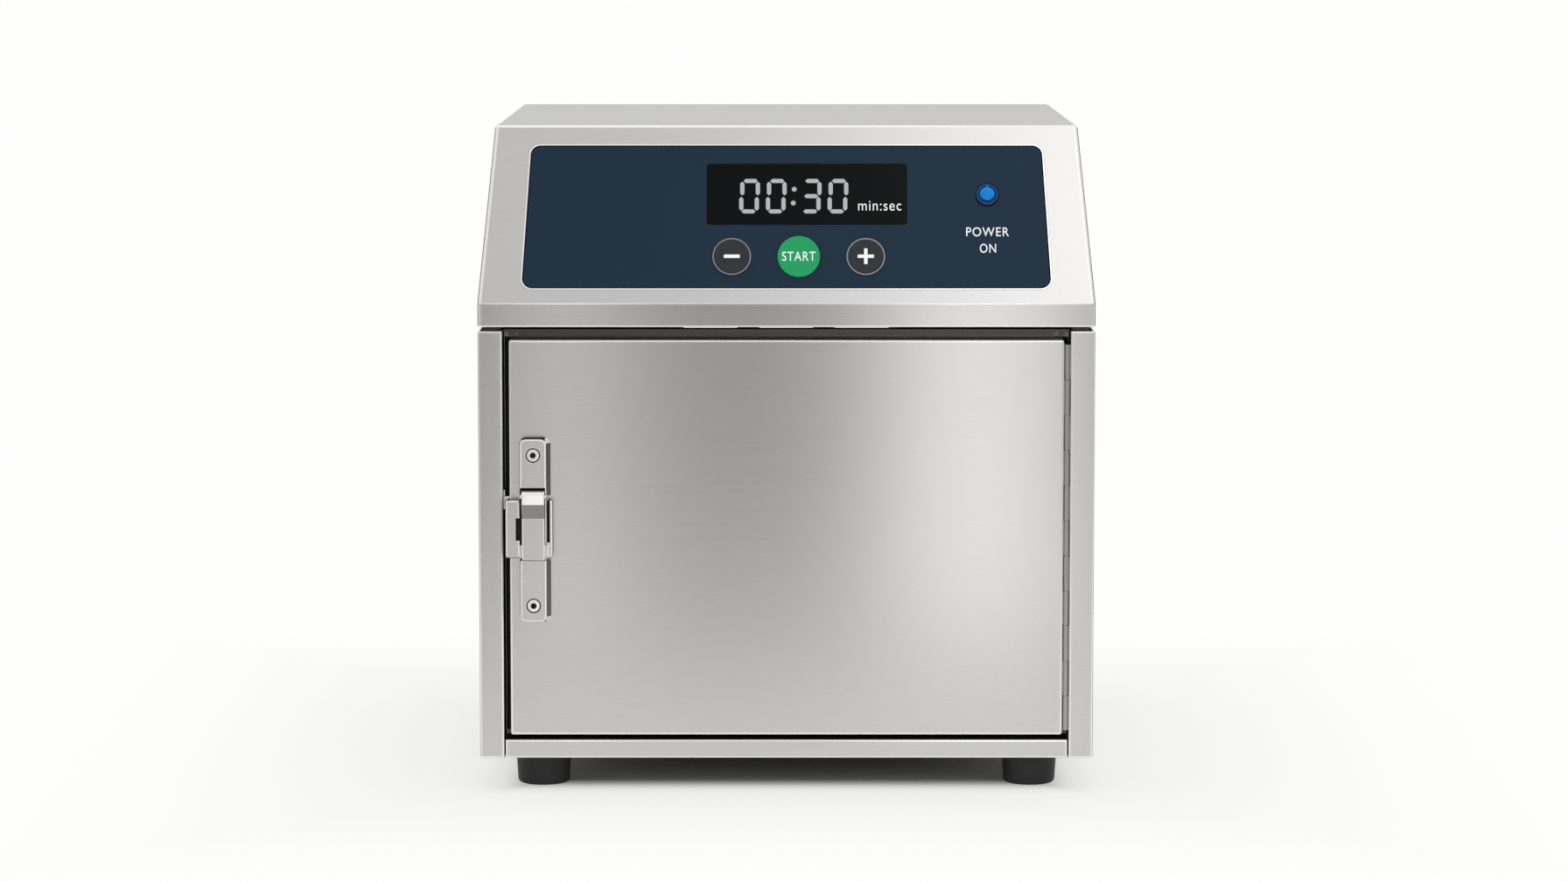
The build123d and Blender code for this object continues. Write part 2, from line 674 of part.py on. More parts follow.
def rear_outline():
    """Front view of the rear panel, which fills the casing up to the hood's top."""
    top = HOOD_TOP - SHEET - SHEET_GAP
    lean = HOOD_LEAN * (top - CREASE_Z) / SLOPE_RISE
    return Polygon(
        (-INNER_HALF, FLOOR_Z),
        (INNER_HALF, FLOOR_Z),
        (INNER_HALF, CREASE_Z),
        (INNER_HALF - lean, top),
        (lean - INNER_HALF, top),
        (-INNER_HALF, CREASE_Z),
        align=None,
    )


def rear_screw_places():
    """Screw places down both rear flanges."""
    x = HALF_WIDTH - FLANGE / 2
    step = (BODY_HEIGHT - 4 * FLANGE) / (PANEL_SCREW_ROWS - 1)
    low = FOOT_HEIGHT + 2 * FLANGE
    return [(side * x, low + row * step) for side in (-1, 1) for row in range(PANEL_SCREW_ROWS)]


def rear_panel():
    """Flat panel with vent slots and the cut-out for the power module."""
    depths = (BODY_DEPTH - REAR_INSET - SHEET, BODY_DEPTH - REAR_INSET)
    through = (depths[0] - CUT, depths[1] + CUT)
    panel = slab(rear_outline(), depths)
    slot = RectangleRounded(VENT_LENGTH, VENT_HEIGHT, VENT_HEIGHT / 2 - 0.01)
    for row in range(VENT_ROWS):
        for column in range(VENT_COLUMNS):
            x = (column - (VENT_COLUMNS - 1) / 2) * VENT_COLUMN_PITCH
            panel -= slab(Pos(x, VENT_FROM_FLOOR + row * VENT_PITCH) * slot, through)
    panel -= slab(inlet_outline(SHEET_GAP - INLET_MARGIN), through)
    for x, z in rear_screw_places():
        panel -= bar_y(PANEL_SCREW_RADIUS + SHEET_GAP, x, through, z)
    return panel


def panel_screws():
    """Pan-head screws through the rear flanges into the rear panel."""
    screws = []
    for x, z in rear_screw_places():
        head = bar_y(PANEL_SCREW_HEAD, x, (BODY_DEPTH, BODY_DEPTH + PANEL_SCREW_HEIGHT), z)
        head = fillet(head.edges().group_by(Axis.Y)[-1], PANEL_SCREW_HEIGHT / 2)
        shank = bar_y(PANEL_SCREW_RADIUS, x, (BODY_DEPTH - PANEL_SCREW_LENGTH, BODY_DEPTH + CUT), z)
        screws.append(head + shank)
    return group(screws)


# ---------------------------------------------------------------- control face
def control_panel():
    """Thin faceplate in the hood's recess, with openings for the display, buttons and lamp."""
    plate = on_face(0, 0, panel_outline(0), (-RECESS_DEPTH, PANEL_TOP))
    through = (-RECESS_DEPTH - CUT, CUT)
    plate -= on_face(DISPLAY_X, DISPLAY_S, display_outline(DISPLAY_FIT), through)
    plate -= on_face(LAMP_X, LAMP_S, Circle(LAMP_BARREL_RADIUS + LAMP_FIT), through)
    plate -= on_face(START_X, BUTTON_S, Circle(START_RADIUS + BUTTON_FIT), through)
    for x in (MINUS_X, PLUS_X):
        plate -= on_face(x, BUTTON_S, Circle(RING_RADIUS), through)
    return plate


def display_window():
    return on_face(DISPLAY_X, DISPLAY_S, display_outline(0), (GLASS_BOTTOM, GLASS_TOP))


def display_module():
    """Display housing between the glass and the control board."""
    box = RectangleRounded(
        DISPLAY_WIDTH + 2 * MODULE_MARGIN, DISPLAY_HEIGHT + 2 * MODULE_MARGIN, MODULE_MARGIN
    )
    return on_face(DISPLAY_X, DISPLAY_S, box, (BOARD_TOP, GLASS_BOTTOM))


def segment_outline(length):
    """Pointed bar of a seven-segment digit, lying along X."""
    half = length / 2 - DIGIT_GAP
    tip = DIGIT_STROKE / 2
    return Polygon(
        (-half, 0), (tip - half, tip), (half - tip, tip), (half, 0), (half - tip, -tip), (tip - half, -tip),
        align=None,
    )


def digit_segments(lit):
    """Outlines of the lit segments of one digit, with its lower left corner at the origin."""
    left = DIGIT_STROKE / 2
    right = DIGIT_WIDTH - DIGIT_STROKE / 2
    low = DIGIT_STROKE / 2
    high = DIGIT_HEIGHT - DIGIT_STROKE / 2
    middle = DIGIT_HEIGHT / 2
    across = right - left
    tall = middle - low
    places = {
        "a": (DIGIT_WIDTH / 2, high, 0, across),
        "b": (right, (middle + high) / 2, 90, tall),
        "c": (right, (low + middle) / 2, 90, tall),
        "d": (DIGIT_WIDTH / 2, low, 0, across),
        "e": (left, (low + middle) / 2, 90, tall),
        "f": (left, (middle + high) / 2, 90, tall),
        "g": (DIGIT_WIDTH / 2, middle, 0, across),
    }
    shapes = []
    for name in lit:
        x, s, turn, length = places[name]
        shapes.append(Pos(x + DIGIT_SLANT * s, s) * Rot(0, 0, turn) * segment_outline(length))
    return shapes


def display_digits():
    """Lit segments of 00:30 on the glass."""
    levels = (GLASS_TOP, GLASS_TOP + DIGIT_THICKNESS)
    zero = "abcdef"
    three = "abcdg"
    starts = [0, DIGIT_PITCH, 2 * DIGIT_PITCH + COLON_SPACE, 3 * DIGIT_PITCH + COLON_SPACE]
    solids = []
    for start, lit in zip(starts, (zero, zero, three, zero)):
        for outline in digit_segments(lit):
            solids.append(on_face(DIGITS_X + start, DIGITS_S, outline, levels))
    colon_x = DIGITS_X + DIGIT_PITCH + (DIGIT_PITCH + COLON_SPACE + DIGIT_WIDTH) / 2
    for share in (0.3, 0.7):
        s = share * DIGIT_HEIGHT
        solids.append(on_face(colon_x + DIGIT_SLANT * s, DIGITS_S + s, Circle(COLON_RADIUS), levels))
    return group(solids)


def flange_bottom():
    return -SHEET - BUTTON_REST_GAP - BUTTON_FLANGE_THICKNESS


def button(x, radius):
    """Push button: cap, retaining flange under the hood and a stem down to its switch."""
    top = PANEL_TOP + BUTTON_PROUD
    cap = on_face(x, BUTTON_S, Circle(radius), (flange_bottom(), top))
    cap = fillet(cap.edges().sort_by(lambda edge: FACE.to_local_coords(edge.center()).Z)[-1], BUTTON_EDGE)
    low = flange_bottom()
    flange = on_face(x, BUTTON_S, Circle(radius + BUTTON_FLANGE), (low, low + BUTTON_FLANGE_THICKNESS))
    stem = on_face(x, BUTTON_S, Circle(STEM_RADIUS), (low - STEM_LENGTH, low))
    return joined([cap, flange, stem])


def key_rings():
    """Light rings on the hood's recess around the minus and plus buttons."""
    levels = (-RECESS_DEPTH, PANEL_TOP + KEY_RING_HEIGHT)
    ring = Circle(RING_RADIUS) - Circle(KEY_RADIUS + BUTTON_FIT)
    return group([on_face(x, BUTTON_S, ring, levels) for x in (MINUS_X, PLUS_X)])


def control_board():
    """Circuit board on the hood's studs, with a switch housing under each button."""
    places = stud_places()
    left, right = places[0][0], places[-1][0]
    low, high = places[0][1], places[1][1]
    plate = Rectangle(right - left + 4 * STUD_RADIUS, high - low + 4 * STUD_RADIUS)
    board = on_face((left + right) / 2, (low + high) / 2, plate, (BOARD_TOP - BOARD, BOARD_TOP))
    housing_top = flange_bottom() - BUTTON_TRAVEL - BUTTON_REST_GAP
    bore_bottom = flange_bottom() - STEM_LENGTH - BUTTON_TRAVEL - BUTTON_REST_GAP
    for x, _ in button_places().values():
        board += on_face(x, BUTTON_S, Rectangle(SWITCH_SIZE, SWITCH_SIZE), (BOARD_TOP, housing_top))
        board -= on_face(x, BUTTON_S, Circle(STEM_RADIUS + BUTTON_FIT), (bore_bottom, housing_top + CUT))
    return board


def power_lamp_bezel():
    """Dark ring with a cup for the lens and a barrel through the hood."""
    top = PANEL_TOP + LAMP_BEZEL_HEIGHT
    seat = top - LAMP_FLANGE_HEIGHT
    ring = on_face(LAMP_X, LAMP_S, Circle(LAMP_BEZEL_RADIUS), (PANEL_TOP, top))
    barrel = on_face(LAMP_X, LAMP_S, Circle(LAMP_BARREL_RADIUS), (PANEL_TOP - LAMP_DEPTH, PANEL_TOP))
    cup = on_face(LAMP_X, LAMP_S, Circle(LAMP_FLANGE_RADIUS + LAMP_FIT), (seat, top + CUT))
    bore = on_face(
        LAMP_X, LAMP_S, Circle(LAMP_BORE_RADIUS + LAMP_FIT), (PANEL_TOP - LAMP_DEPTH - CUT, top)
    )
    return ring + barrel - cup - bore


def power_lamp_lens():
    """Blue lens: flange, dome and a stem down the barrel."""
    top = PANEL_TOP + LAMP_BEZEL_HEIGHT
    flange = on_face(LAMP_X, LAMP_S, Circle(LAMP_FLANGE_RADIUS), (top - LAMP_FLANGE_HEIGHT, top))
    stem = on_face(
        LAMP_X, LAMP_S, Circle(LAMP_BORE_RADIUS), (PANEL_TOP - LAMP_DEPTH / 2, top - LAMP_FLANGE_HEIGHT)
    )
    ball = (LAMP_DOME_RADIUS**2 + LAMP_DOME_HEIGHT**2) / (2 * LAMP_DOME_HEIGHT)
    sphere = FACE.offset(top + LAMP_DOME_HEIGHT - ball) * Pos(LAMP_X, LAMP_S) * Sphere(ball)
    dome = sphere & on_face(LAMP_X, LAMP_S, Circle(LAMP_DOME_RADIUS), (top, top + LAMP_DOME_HEIGHT))
    return joined([flange, stem, dome])


# ---------------------------------------------------------------- door
def door_outline(margin):
    """Front view of the door, shrunk by a margin."""
    return Pos(0, DOOR_MID) * RectangleRounded(
        2 * (DOOR_HALF - margin), DOOR_HIGH - DOOR_LOW - 2 * margin, DOOR_CORNER_RADIUS
    )


def latch_screw_places():
    return [LATCH_Z + SCREW_FROM_END, LATCH_Z + LATCH_LENGTH - SCREW_FROM_END]


def door_shell():
    """Outer door pan, folded back on all four sides."""
    outer = slab(door_outline(0), (0, DOOR_SHELL_DEPTH))
    outer = fillet(outer.faces().sort_by(Axis.Y)[0].edges(), DOOR_EDGE_RADIUS)
    shell = outer - slab(door_outline(SHEET), (SHEET, DOOR_SHELL_DEPTH + CUT))
    for z in latch_screw_places():
        shell -= bar_y(SCREW_SHANK_RADIUS + SCREW_HOLE_GAP, LATCH_X, (-CUT, SHEET + CUT), z)
    return shell


def door_inner_plate():
    """Plate that closes the back of the door."""
    return slab(door_outline(DOOR_PLATE_INSET), (DOOR_SHELL_DEPTH, DOOR_BACK))


def door_seal():
    """Rubber ring around the door's back, which meets the front of the chamber."""
    outer = RectangleRounded(
        SEAL_SPAN + 2 * SEAL_WIDTH, SEAL_RISE + 2 * SEAL_WIDTH, SEAL_CORNER + SEAL_WIDTH
    )
    inner = RectangleRounded(SEAL_SPAN, SEAL_RISE, SEAL_CORNER)
    return slab(Pos(0, DOOR_MID) * (outer - inner), (DOOR_BACK, CHAMBER_FACE - SEAL_GAP))


def pressure_plate():
    """Flat plate on the door that the sample bag is kneaded against."""
    outline = Pos(0, DOOR_MID) * RectangleRounded(PRESSURE_WIDTH, PRESSURE_HEIGHT, PRESSURE_CORNER)
    plate = slab(outline, (DOOR_BACK, DOOR_BACK + PRESSURE_THICKNESS))
    return fillet(plate.faces().sort_by(Axis.Y)[-1].edges(), PRESSURE_EDGE)


def hinge_knuckles():
    """Lower and upper ends of each hinge knuckle, from the bottom up."""
    low = DOOR_LOW + HINGE_END
    length = DOOR_HIGH - DOOR_LOW - 2 * HINGE_END
    pitch = (length + HINGE_AXIAL_GAP) / HINGE_KNUCKLES
    return [(low + i * pitch, low + (i + 1) * pitch - HINGE_AXIAL_GAP) for i in range(HINGE_KNUCKLES)]


def hinge_leaf(wall_x, first):
    """Leaf of the long hinge against a wall, with every second knuckle from the first one given."""
    toward_pin = math.copysign(HINGE_LEAF, HINGE_X - wall_x)
    xs = sorted((wall_x, wall_x + toward_pin))
    axis_depth = HINGE_KNUCKLE_RADIUS
    leaf_from = axis_depth + HINGE_KNUCKLE_RADIUS + HINGE_CLEARANCE
    knuckles = hinge_knuckles()
    leaf = block(xs, (leaf_from, axis_depth + HINGE_LEAF_WIDTH), (knuckles[0][0], knuckles[-1][1]))
    for zs in knuckles[first::2]:
        leaf += block(xs, (axis_depth, leaf_from), zs)
        leaf += bar_z(HINGE_KNUCKLE_RADIUS, HINGE_X, HINGE_Y, zs)
        leaf -= bar_z(HINGE_PIN_RADIUS + HINGE_FIT, HINGE_X, HINGE_Y, zs)
    return leaf


def hinge_pin():
    knuckles = hinge_knuckles()
    return bar_z(HINGE_PIN_RADIUS, HINGE_X, HINGE_Y, (knuckles[0][0], knuckles[-1][1]))


# ---------------------------------------------------------------- latch
def proud(distance):
    """Y of a plane that stands out from the door's face."""
    return FRONT - distance


def latch_outline():
    middle = LATCH_Z + LATCH_LENGTH / 2
    return Pos(LATCH_X, middle) * RectangleRounded(LATCH_WIDTH, LATCH_LENGTH, LATCH_CORNER)


def latch_window(side_gap, proud_from, proud_to):
    """Space between the housing's side walls, where the lever lies."""
    half = LATCH_WIDTH / 2 - LATCH_WALL - side_gap
    zs = (LATCH_Z + WINDOW_LOW, LATCH_Z + WINDOW_HIGH)
    return block((LATCH_X - half, LATCH_X + half), (-proud_to, -proud_from), zs)


def latch_flanks():
    """Cast flanks that spread towards the door above and below the lever, most on the right."""
    spread = LATCH_LEFT_FLANK + LATCH_RIGHT_FLANK
    middle_x = LATCH_X + (LATCH_RIGHT_FLANK - LATCH_LEFT_FLANK) / 2
    foot_outline = Pos(middle_x, LATCH_Z + LATCH_LENGTH / 2) * RectangleRounded(
        LATCH_WIDTH + spread, LATCH_LENGTH + 2 * LATCH_LEFT_FLANK, LATCH_CORNER + LATCH_LEFT_FLANK
    )
    flanks = loft([front_plane(0) * foot_outline, front_plane(-LATCH_FLANK_PROUD) * latch_outline()])
    return flanks - block(
        (LATCH_X - LATCH_WIDTH, LATCH_X + LATCH_WIDTH),
        (-LATCH_THICKNESS, CUT),
        (LATCH_Z + WINDOW_LOW, PIVOT_Z + LATCH_GAP),
    )


def latch_housing():
    """Bar on the door with two screw seats and a window for the lever between low side walls."""
    housing = slab(latch_outline(), (-LATCH_THICKNESS, 0))
    housing = fillet(housing.faces().sort_by(Axis.Y)[0].edges(), LATCH_EDGE) + latch_flanks()
    housing -= latch_window(0, LATCH_BASE, LATCH_THICKNESS + CUT)
    half = LATCH_WIDTH / 2 + LATCH_EDGE
    housing -= block(
        (LATCH_X - half, LATCH_X + half),
        (-LATCH_THICKNESS - CUT, -LATCH_WALL_PROUD),
        (LATCH_Z + WINDOW_LOW, LATCH_Z + WINDOW_HIGH),
    )
    for z in latch_screw_places():
        seat = -LATCH_THICKNESS + SCREW_HEAD_HEIGHT
        housing -= bar_y(SCREW_HEAD_RADIUS + SCREW_SEAT_GAP, LATCH_X, (-LATCH_THICKNESS - CUT, seat), z)
        rim = housing.edges().filter_by(GeomType.CIRCLE).filter_by(
            lambda edge: abs(edge.radius - SCREW_HEAD_RADIUS - SCREW_SEAT_GAP) < SCREW_CHAMFER
            and abs(edge.arc_center.Z - z) < CUT
        )
        housing = chamfer(rim.group_by(Axis.Y)[0], SCREW_CHAMFER)
        housing -= bar_y(SCREW_SHANK_RADIUS + SCREW_HOLE_GAP, LATCH_X, (-LATCH_THICKNESS, CUT), z)
    housing -= bar_x(
        LATCH_PIN_RADIUS + LATCH_PIN_FIT, (LATCH_X - half, LATCH_X + half), proud(PIVOT_PROUD), PIVOT_Z
    )
    return housing


def latch_screws():
    """Socket screws through the housing into the door."""
    screws = []
    for z in latch_screw_places():
        head_back = -LATCH_THICKNESS + SCREW_HEAD_HEIGHT
        head = bar_y(SCREW_HEAD_RADIUS, LATCH_X, (-LATCH_THICKNESS, head_back), z)
        head = chamfer(head.edges().group_by(Axis.Y)[0], SCREW_CHAMFER)
        shank = bar_y(SCREW_SHANK_RADIUS, LATCH_X, (-LATCH_THICKNESS, SCREW_LENGTH - LATCH_THICKNESS), z)
        socket = slab(
            Pos(LATCH_X, z) * RegularPolygon(SCREW_SHANK_RADIUS, 6),
            (-LATCH_THICKNESS - CUT, SCREW_SOCKET - LATCH_THICKNESS),
        )
        screws.append(head + shank - socket)
    return group(screws)


def latch_arm(xs, depths, zs):
    """Block beside the housing with rounded corners and front edges."""
    arm = block(xs, depths, zs)
    arm = fillet(arm.edges().filter_by(Axis.Y), ARM_CORNER)
    return fillet(arm.faces().sort_by(Axis.Y)[0].edges(), ARM_EDGE)


def latch_lever():
    """Lever between the walls, with an arm over each side; the left arm carries the hook in the gap."""
    face = proud(LATCH_THICKNESS)
    back = proud(LATCH_BASE + LATCH_GAP)
    low = LATCH_Z + WINDOW_LOW + LATCH_GAP
    face_z = PIVOT_Z - FACE_DROP
    apex = (proud(APEX_PROUD), PIVOT_Z - APEX_DROP)
    pivot = (proud(PIVOT_PROUD), PIVOT_Z)
    reach = math.hypot(APEX_PROUD - PIVOT_PROUD, APEX_DROP)
    turn = math.acos(HUB_RADIUS / reach) - math.atan2(APEX_DROP, APEX_PROUD - PIVOT_PROUD)
    tangent = (pivot[0] - HUB_RADIUS * math.cos(turn), PIVOT_Z + HUB_RADIUS * math.sin(turn))
    side_view = Polygon(
        (back, low), (face, low), (face, face_z), apex, tangent, pivot, (back, PIVOT_Z), align=None
    )
    side_view += Pos(*pivot) * Circle(HUB_RADIUS)
    bends = side_view.vertices().filter_by(
        lambda corner: corner.X < face + LATCH_GAP and face_z - CUT < corner.Y < PIVOT_Z
    )
    side_view = fillet(bends, LEVER_BEND)
    half = LATCH_WIDTH / 2 - LATCH_WALL - LATCH_GAP
    xs = (LATCH_X - half, LATCH_X + half)
    body = profile(side_view, xs)
    body -= block(xs, (-LATCH_BASE - LATCH_GAP, CUT), (low, BODY_TOP))
    sides = body.edges().filter_by(
        lambda edge: abs(abs(edge.center().X - LATCH_X) - half) < LATCH_GAP and edge.center().Y < pivot[0]
    )
    body = fillet(sides, LEVER_EDGE)

    arm_zs = (LATCH_Z + ARM_LOW, LATCH_Z + ARM_HIGH)
    web_x = -DOOR_HALF - HOOK_GRIP
    left_out = web_x - HOOK_WEB
    left_in = LATCH_X - LATCH_WIDTH / 2 - LATCH_GAP
    right_in = LATCH_X + LATCH_WIDTH / 2 + LATCH_GAP
    right_out = right_in + CHEEK_WIDTH
    bridge = (BRIDGE_SINK - LATCH_THICKNESS, -LATCH_WALL_PROUD - LATCH_GAP)
    arms = (-LATCH_THICKNESS, -ARM_BACK_PROUD)
    body += block((left_in - CUT, right_in + CUT), bridge, (arm_zs[0], arm_zs[0] + BRIDGE_LENGTH))
    left_arm = latch_arm((left_out, left_in), arms, arm_zs)
    notch_in = left_out + HOOK_BLOCK_WIDTH
    notch_mid = sum(arm_zs) / 2
    left_arm -= block(
        (notch_in - HOOK_NOTCH_WIDTH, left_in + CUT),
        (-LATCH_THICKNESS - CUT, HOOK_NOTCH_DEPTH - LATCH_THICKNESS),
        (notch_mid - HOOK_NOTCH_LENGTH / 2, notch_mid + HOOK_NOTCH_LENGTH / 2),
    )
    right_arm = latch_arm((right_in, right_out), arms, arm_zs)
    right_arm -= block(
        (right_in - CUT, right_in + CHEEK_SLOT_WIDTH),
        (-LATCH_THICKNESS - CUT, HOOK_NOTCH_DEPTH - LATCH_THICKNESS),
        (arm_zs[1] - CHEEK_SLOT_LENGTH, arm_zs[1] + CUT),
    )
    body = joined([body, left_arm, right_arm])

    web_top = KEEPER_Z - KEEPER_RADIUS - LATCH_GAP
    web_low = PIVOT_Z - HOOK_WEB_DROP
    claw_from = KEEPER_SETBACK + KEEPER_RADIUS + 2 * LATCH_GAP
    web = block((left_out, web_x), (-ARM_BACK_PROUD - CUT, claw_from + HOOK_CLAW), (web_low, web_top))
    claw = block(
        (left_out, web_x), (claw_from, claw_from + HOOK_CLAW), (web_low, KEEPER_Z + HOOK_CLAW_RISE)
    )
    body = joined([body, web, claw])
    return body - bar_x(LATCH_PIN_RADIUS + LATCH_PIN_FIT, (left_out, right_out), *pivot)


def latch_pin():
    half = LATCH_WIDTH / 2
    return bar_x(LATCH_PIN_RADIUS, (LATCH_X - half, LATCH_X + half), proud(PIVOT_PROUD), PIVOT_Z)


def latch_keeper():
    """Plate on the left post's return with the pin that the hook catches."""
    size = KEEPER_PLATE_SIZE / 2
    plate = block(
        (-POST_INNER, KEEPER_PLATE - POST_INNER),
        (KEEPER_SETBACK - size, KEEPER_SETBACK + size),
        (KEEPER_Z - size, KEEPER_Z + size),
    )
    end = KEEPER_END_GAP + DOOR_HALF
    return plate + bar_x(KEEPER_RADIUS, (-POST_INNER, -end), FRONT + KEEPER_SETBACK, KEEPER_Z)


# ---------------------------------------------------------------- blending chamber
def rod_places(side):
    x = side * PADDLE_PITCH / 2
    return [(x, ROD_LOW), (x, ROD_HIGH)]


def chamber_liner():
    """Front frame, four walls and back of the blending chamber, welded from flat sheets."""
    half = CHAMBER_WIDTH / 2
    low = DOOR_MID - CHAMBER_HEIGHT / 2
    high = DOOR_MID + CHAMBER_HEIGHT / 2
    width = (-half - SHEET, half + SHEET)
    height = (low - SHEET, high + SHEET)
    frame_zs = (FLOOR_Z + SHEET_GAP, BODY_TOP - SHEET_GAP)
    frame = block((-INNER_HALF, INNER_HALF), (CHAMBER_FACE, CHAMBER_FACE + SHEET), frame_zs)
    frame -= block(width, (CHAMBER_FACE - CUT, CHAMBER_FACE + SHEET + CUT), height)
    depths = (CHAMBER_FACE, CHAMBER_BACK - SHEET)
    sheets = [frame, block(width, depths, (high, high + SHEET)), block(width, depths, (low - SHEET, low))]
    back = block(width, (CHAMBER_BACK - SHEET, CHAMBER_BACK), height)
    for side in SIDES.values():
        sheets.append(side_block(side, (half, half + SHEET), depths, (low, high)))
        for x, z in rod_places(side):
            back -= bar_y(BUSH_RADIUS, x, (CHAMBER_BACK - SHEET - CUT, CHAMBER_BACK + CUT), z)
    return group([*sheets, back])


def rod_bushes():
    """Flanged bushes that guide the paddle rods through the chamber's back wall."""
    bushes = []
    seat = CHAMBER_BACK - SHEET
    for side in SIDES.values():
        for x, z in rod_places(side):
            bush = bar_y(BUSH_RADIUS, x, (seat, CHAMBER_BACK + CRANKCASE_FRONT), z)
            bush += bar_y(BUSH_FLANGE_RADIUS, x, (seat - BUSH_FLANGE, seat), z)
            through = (seat - BUSH_FLANGE - CUT, CHAMBER_BACK + CRANKCASE_FRONT + CUT)
            bushes.append(bush - bar_y(ROD_RADIUS + ROD_FIT, x, through, z))
    return group(bushes)


def paddle(side):
    """Kneading paddle with rounded edges and two blind sockets for its rods."""
    outline = Pos(side * PADDLE_PITCH / 2, DOOR_MID) * RectangleRounded(
        PADDLE_WIDTH, PADDLE_HEIGHT, PADDLE_CORNER
    )
    back = PADDLE_FRONT + PADDLE_THICKNESS
    plate = slab(outline, (PADDLE_FRONT, back))
    plate = fillet(plate.faces().sort_by(Axis.Y)[0].edges(), PADDLE_EDGE)
    for x, z in rod_places(side):
        plate -= bar_y(ROD_RADIUS, x, (back - ROD_SOCKET, back + CUT), z)
    return plate


def paddle_rods(side):
    """Two rods from the paddle's sockets to the crosshead."""
    low = PADDLE_FRONT + PADDLE_THICKNESS - ROD_SOCKET
    high = CROSSHEAD_FRONT + CROSSHEAD_BAR
    return group([bar_y(ROD_RADIUS, x, (low, high), z) for x, z in rod_places(side)])


def crosshead(side):
    """Bar that joins a paddle's rods, with a window in which the crank pin turns."""
    x = side * PADDLE_PITCH / 2
    xs = (x - CROSSHEAD_WIDTH / 2, x + CROSSHEAD_WIDTH / 2)
    bar = block(
        xs,
        (CROSSHEAD_FRONT, CROSSHEAD_FRONT + CROSSHEAD_BAR),
        (ROD_LOW - CROSSHEAD_END, ROD_HIGH + CROSSHEAD_END),
    )
    for _, z in rod_places(side):
        bar += bar_y(CROSSHEAD_END, x, (CROSSHEAD_FRONT, CROSSHEAD_FRONT + CROSSHEAD_BAR), z)
    half_depth = WINDOW_HALF_DEPTH + CROSSHEAD_WALL
    half_height = WINDOW_HALF_HEIGHT + CROSSHEAD_WALL
    depths = (CRANK_DEPTH - half_depth, CRANK_DEPTH + half_depth)
    bar += block(xs, depths, (DOOR_MID - half_height, DOOR_MID + half_height))
    bar -= block(
        (xs[0] - CUT, xs[1] + CUT),
        (CRANK_DEPTH - WINDOW_HALF_DEPTH, CRANK_DEPTH + WINDOW_HALF_DEPTH),
        (DOOR_MID - WINDOW_HALF_HEIGHT, DOOR_MID + WINDOW_HALF_HEIGHT),
    )
    for x, z in rod_places(side):
        bar -= bar_y(ROD_RADIUS, x, (CROSSHEAD_FRONT - CUT, CROSSHEAD_FRONT + CROSSHEAD_BAR + CUT), z)
    return bar


# ---------------------------------------------------------------- drive
def crankcase():
    """Cast box behind the chamber, open at the back, on two legs."""
    half = CRANKCASE_WIDTH / 2
    low = DOOR_MID - CRANKCASE_HEIGHT / 2
    high = DOOR_MID + CRANKCASE_HEIGHT / 2
    back = CHAMBER_BACK + CRANKCASE_DEPTH
    case = block((-half, half), (CHAMBER_BACK, back), (low, high))
    inner = half - CRANKCASE_WALL
    depths = (CHAMBER_BACK + CRANKCASE_FRONT, back + CUT)
    case -= block((-inner, inner), depths, (low + CRANKCASE_WALL, high - CRANKCASE_WALL))
    for side in SIDES.values():
        leg_depths = (CRANK_DEPTH - CRANKCASE_LEG / 2, CRANK_DEPTH + CRANKCASE_LEG / 2)
        case += side_block(side, (inner, half), leg_depths, (FLOOR_Z, low + CUT))
        for x, z in rod_places(side):
            through = (CHAMBER_BACK - CUT, CHAMBER_BACK + CRANKCASE_FRONT + CUT)
            case -= bar_y(BUSH_RADIUS, x, through, z)
    case -= bar_x(BEARING_RADIUS, (-half - CUT, half + CUT), CRANK_Y, DOOR_MID)
    return case


def crankcase_cover():
    half = CRANKCASE_WIDTH / 2
    back = CHAMBER_BACK + CRANKCASE_DEPTH
    return block(
        (-half, half),
        (back, back + CRANKCASE_COVER),
        (DOOR_MID - CRANKCASE_HEIGHT / 2, DOOR_MID + CRANKCASE_HEIGHT / 2),
    )


def crank_bearings():
    """Bearing in each side wall of the crankcase."""
    half = CRANKCASE_WIDTH / 2
    bearings = []
    for side in SIDES.values():
        xs = sorted((side * half, side * (half - CRANKCASE_WALL)))
        ring = bar_x(BEARING_RADIUS, xs, CRANK_Y, DOOR_MID)
        bearings.append(ring - bar_x(SHAFT_RADIUS + SHAFT_FIT, xs, CRANK_Y, DOOR_MID))
    return group(bearings)


def crankshaft():
    """Shaft with two opposed crank pins, each between a pair of webs inside its crosshead."""
    gap = CROSSHEAD_WIDTH / 2 + WEB_GAP
    outer = gap + WEB_THICKNESS
    pin_x = PADDLE_PITCH / 2
    half = CRANKCASE_WIDTH / 2
    shaft_end = PULLEY_X + PULLEY_WIDTH
    pieces = [
        bar_x(SHAFT_RADIUS, (gap - pin_x, pin_x - gap), CRANK_Y, DOOR_MID),
        bar_x(SHAFT_RADIUS, (-half, -pin_x - gap), CRANK_Y, DOOR_MID),
        bar_x(SHAFT_RADIUS, (pin_x + gap, shaft_end), CRANK_Y, DOOR_MID),
    ]
    for side in SIDES.values():
        x = side * pin_x
        pin_z = DOOR_MID - side * THROW
        pieces.append(bar_x(CRANK_PIN_RADIUS, (x - outer, x + outer), CRANK_Y, pin_z))
        pieces.append(bar_x(WEB_RADIUS, (x - outer, x - gap), CRANK_Y, DOOR_MID))
        pieces.append(bar_x(WEB_RADIUS, (x + gap, x + outer), CRANK_Y, DOOR_MID))
    return joined(pieces)


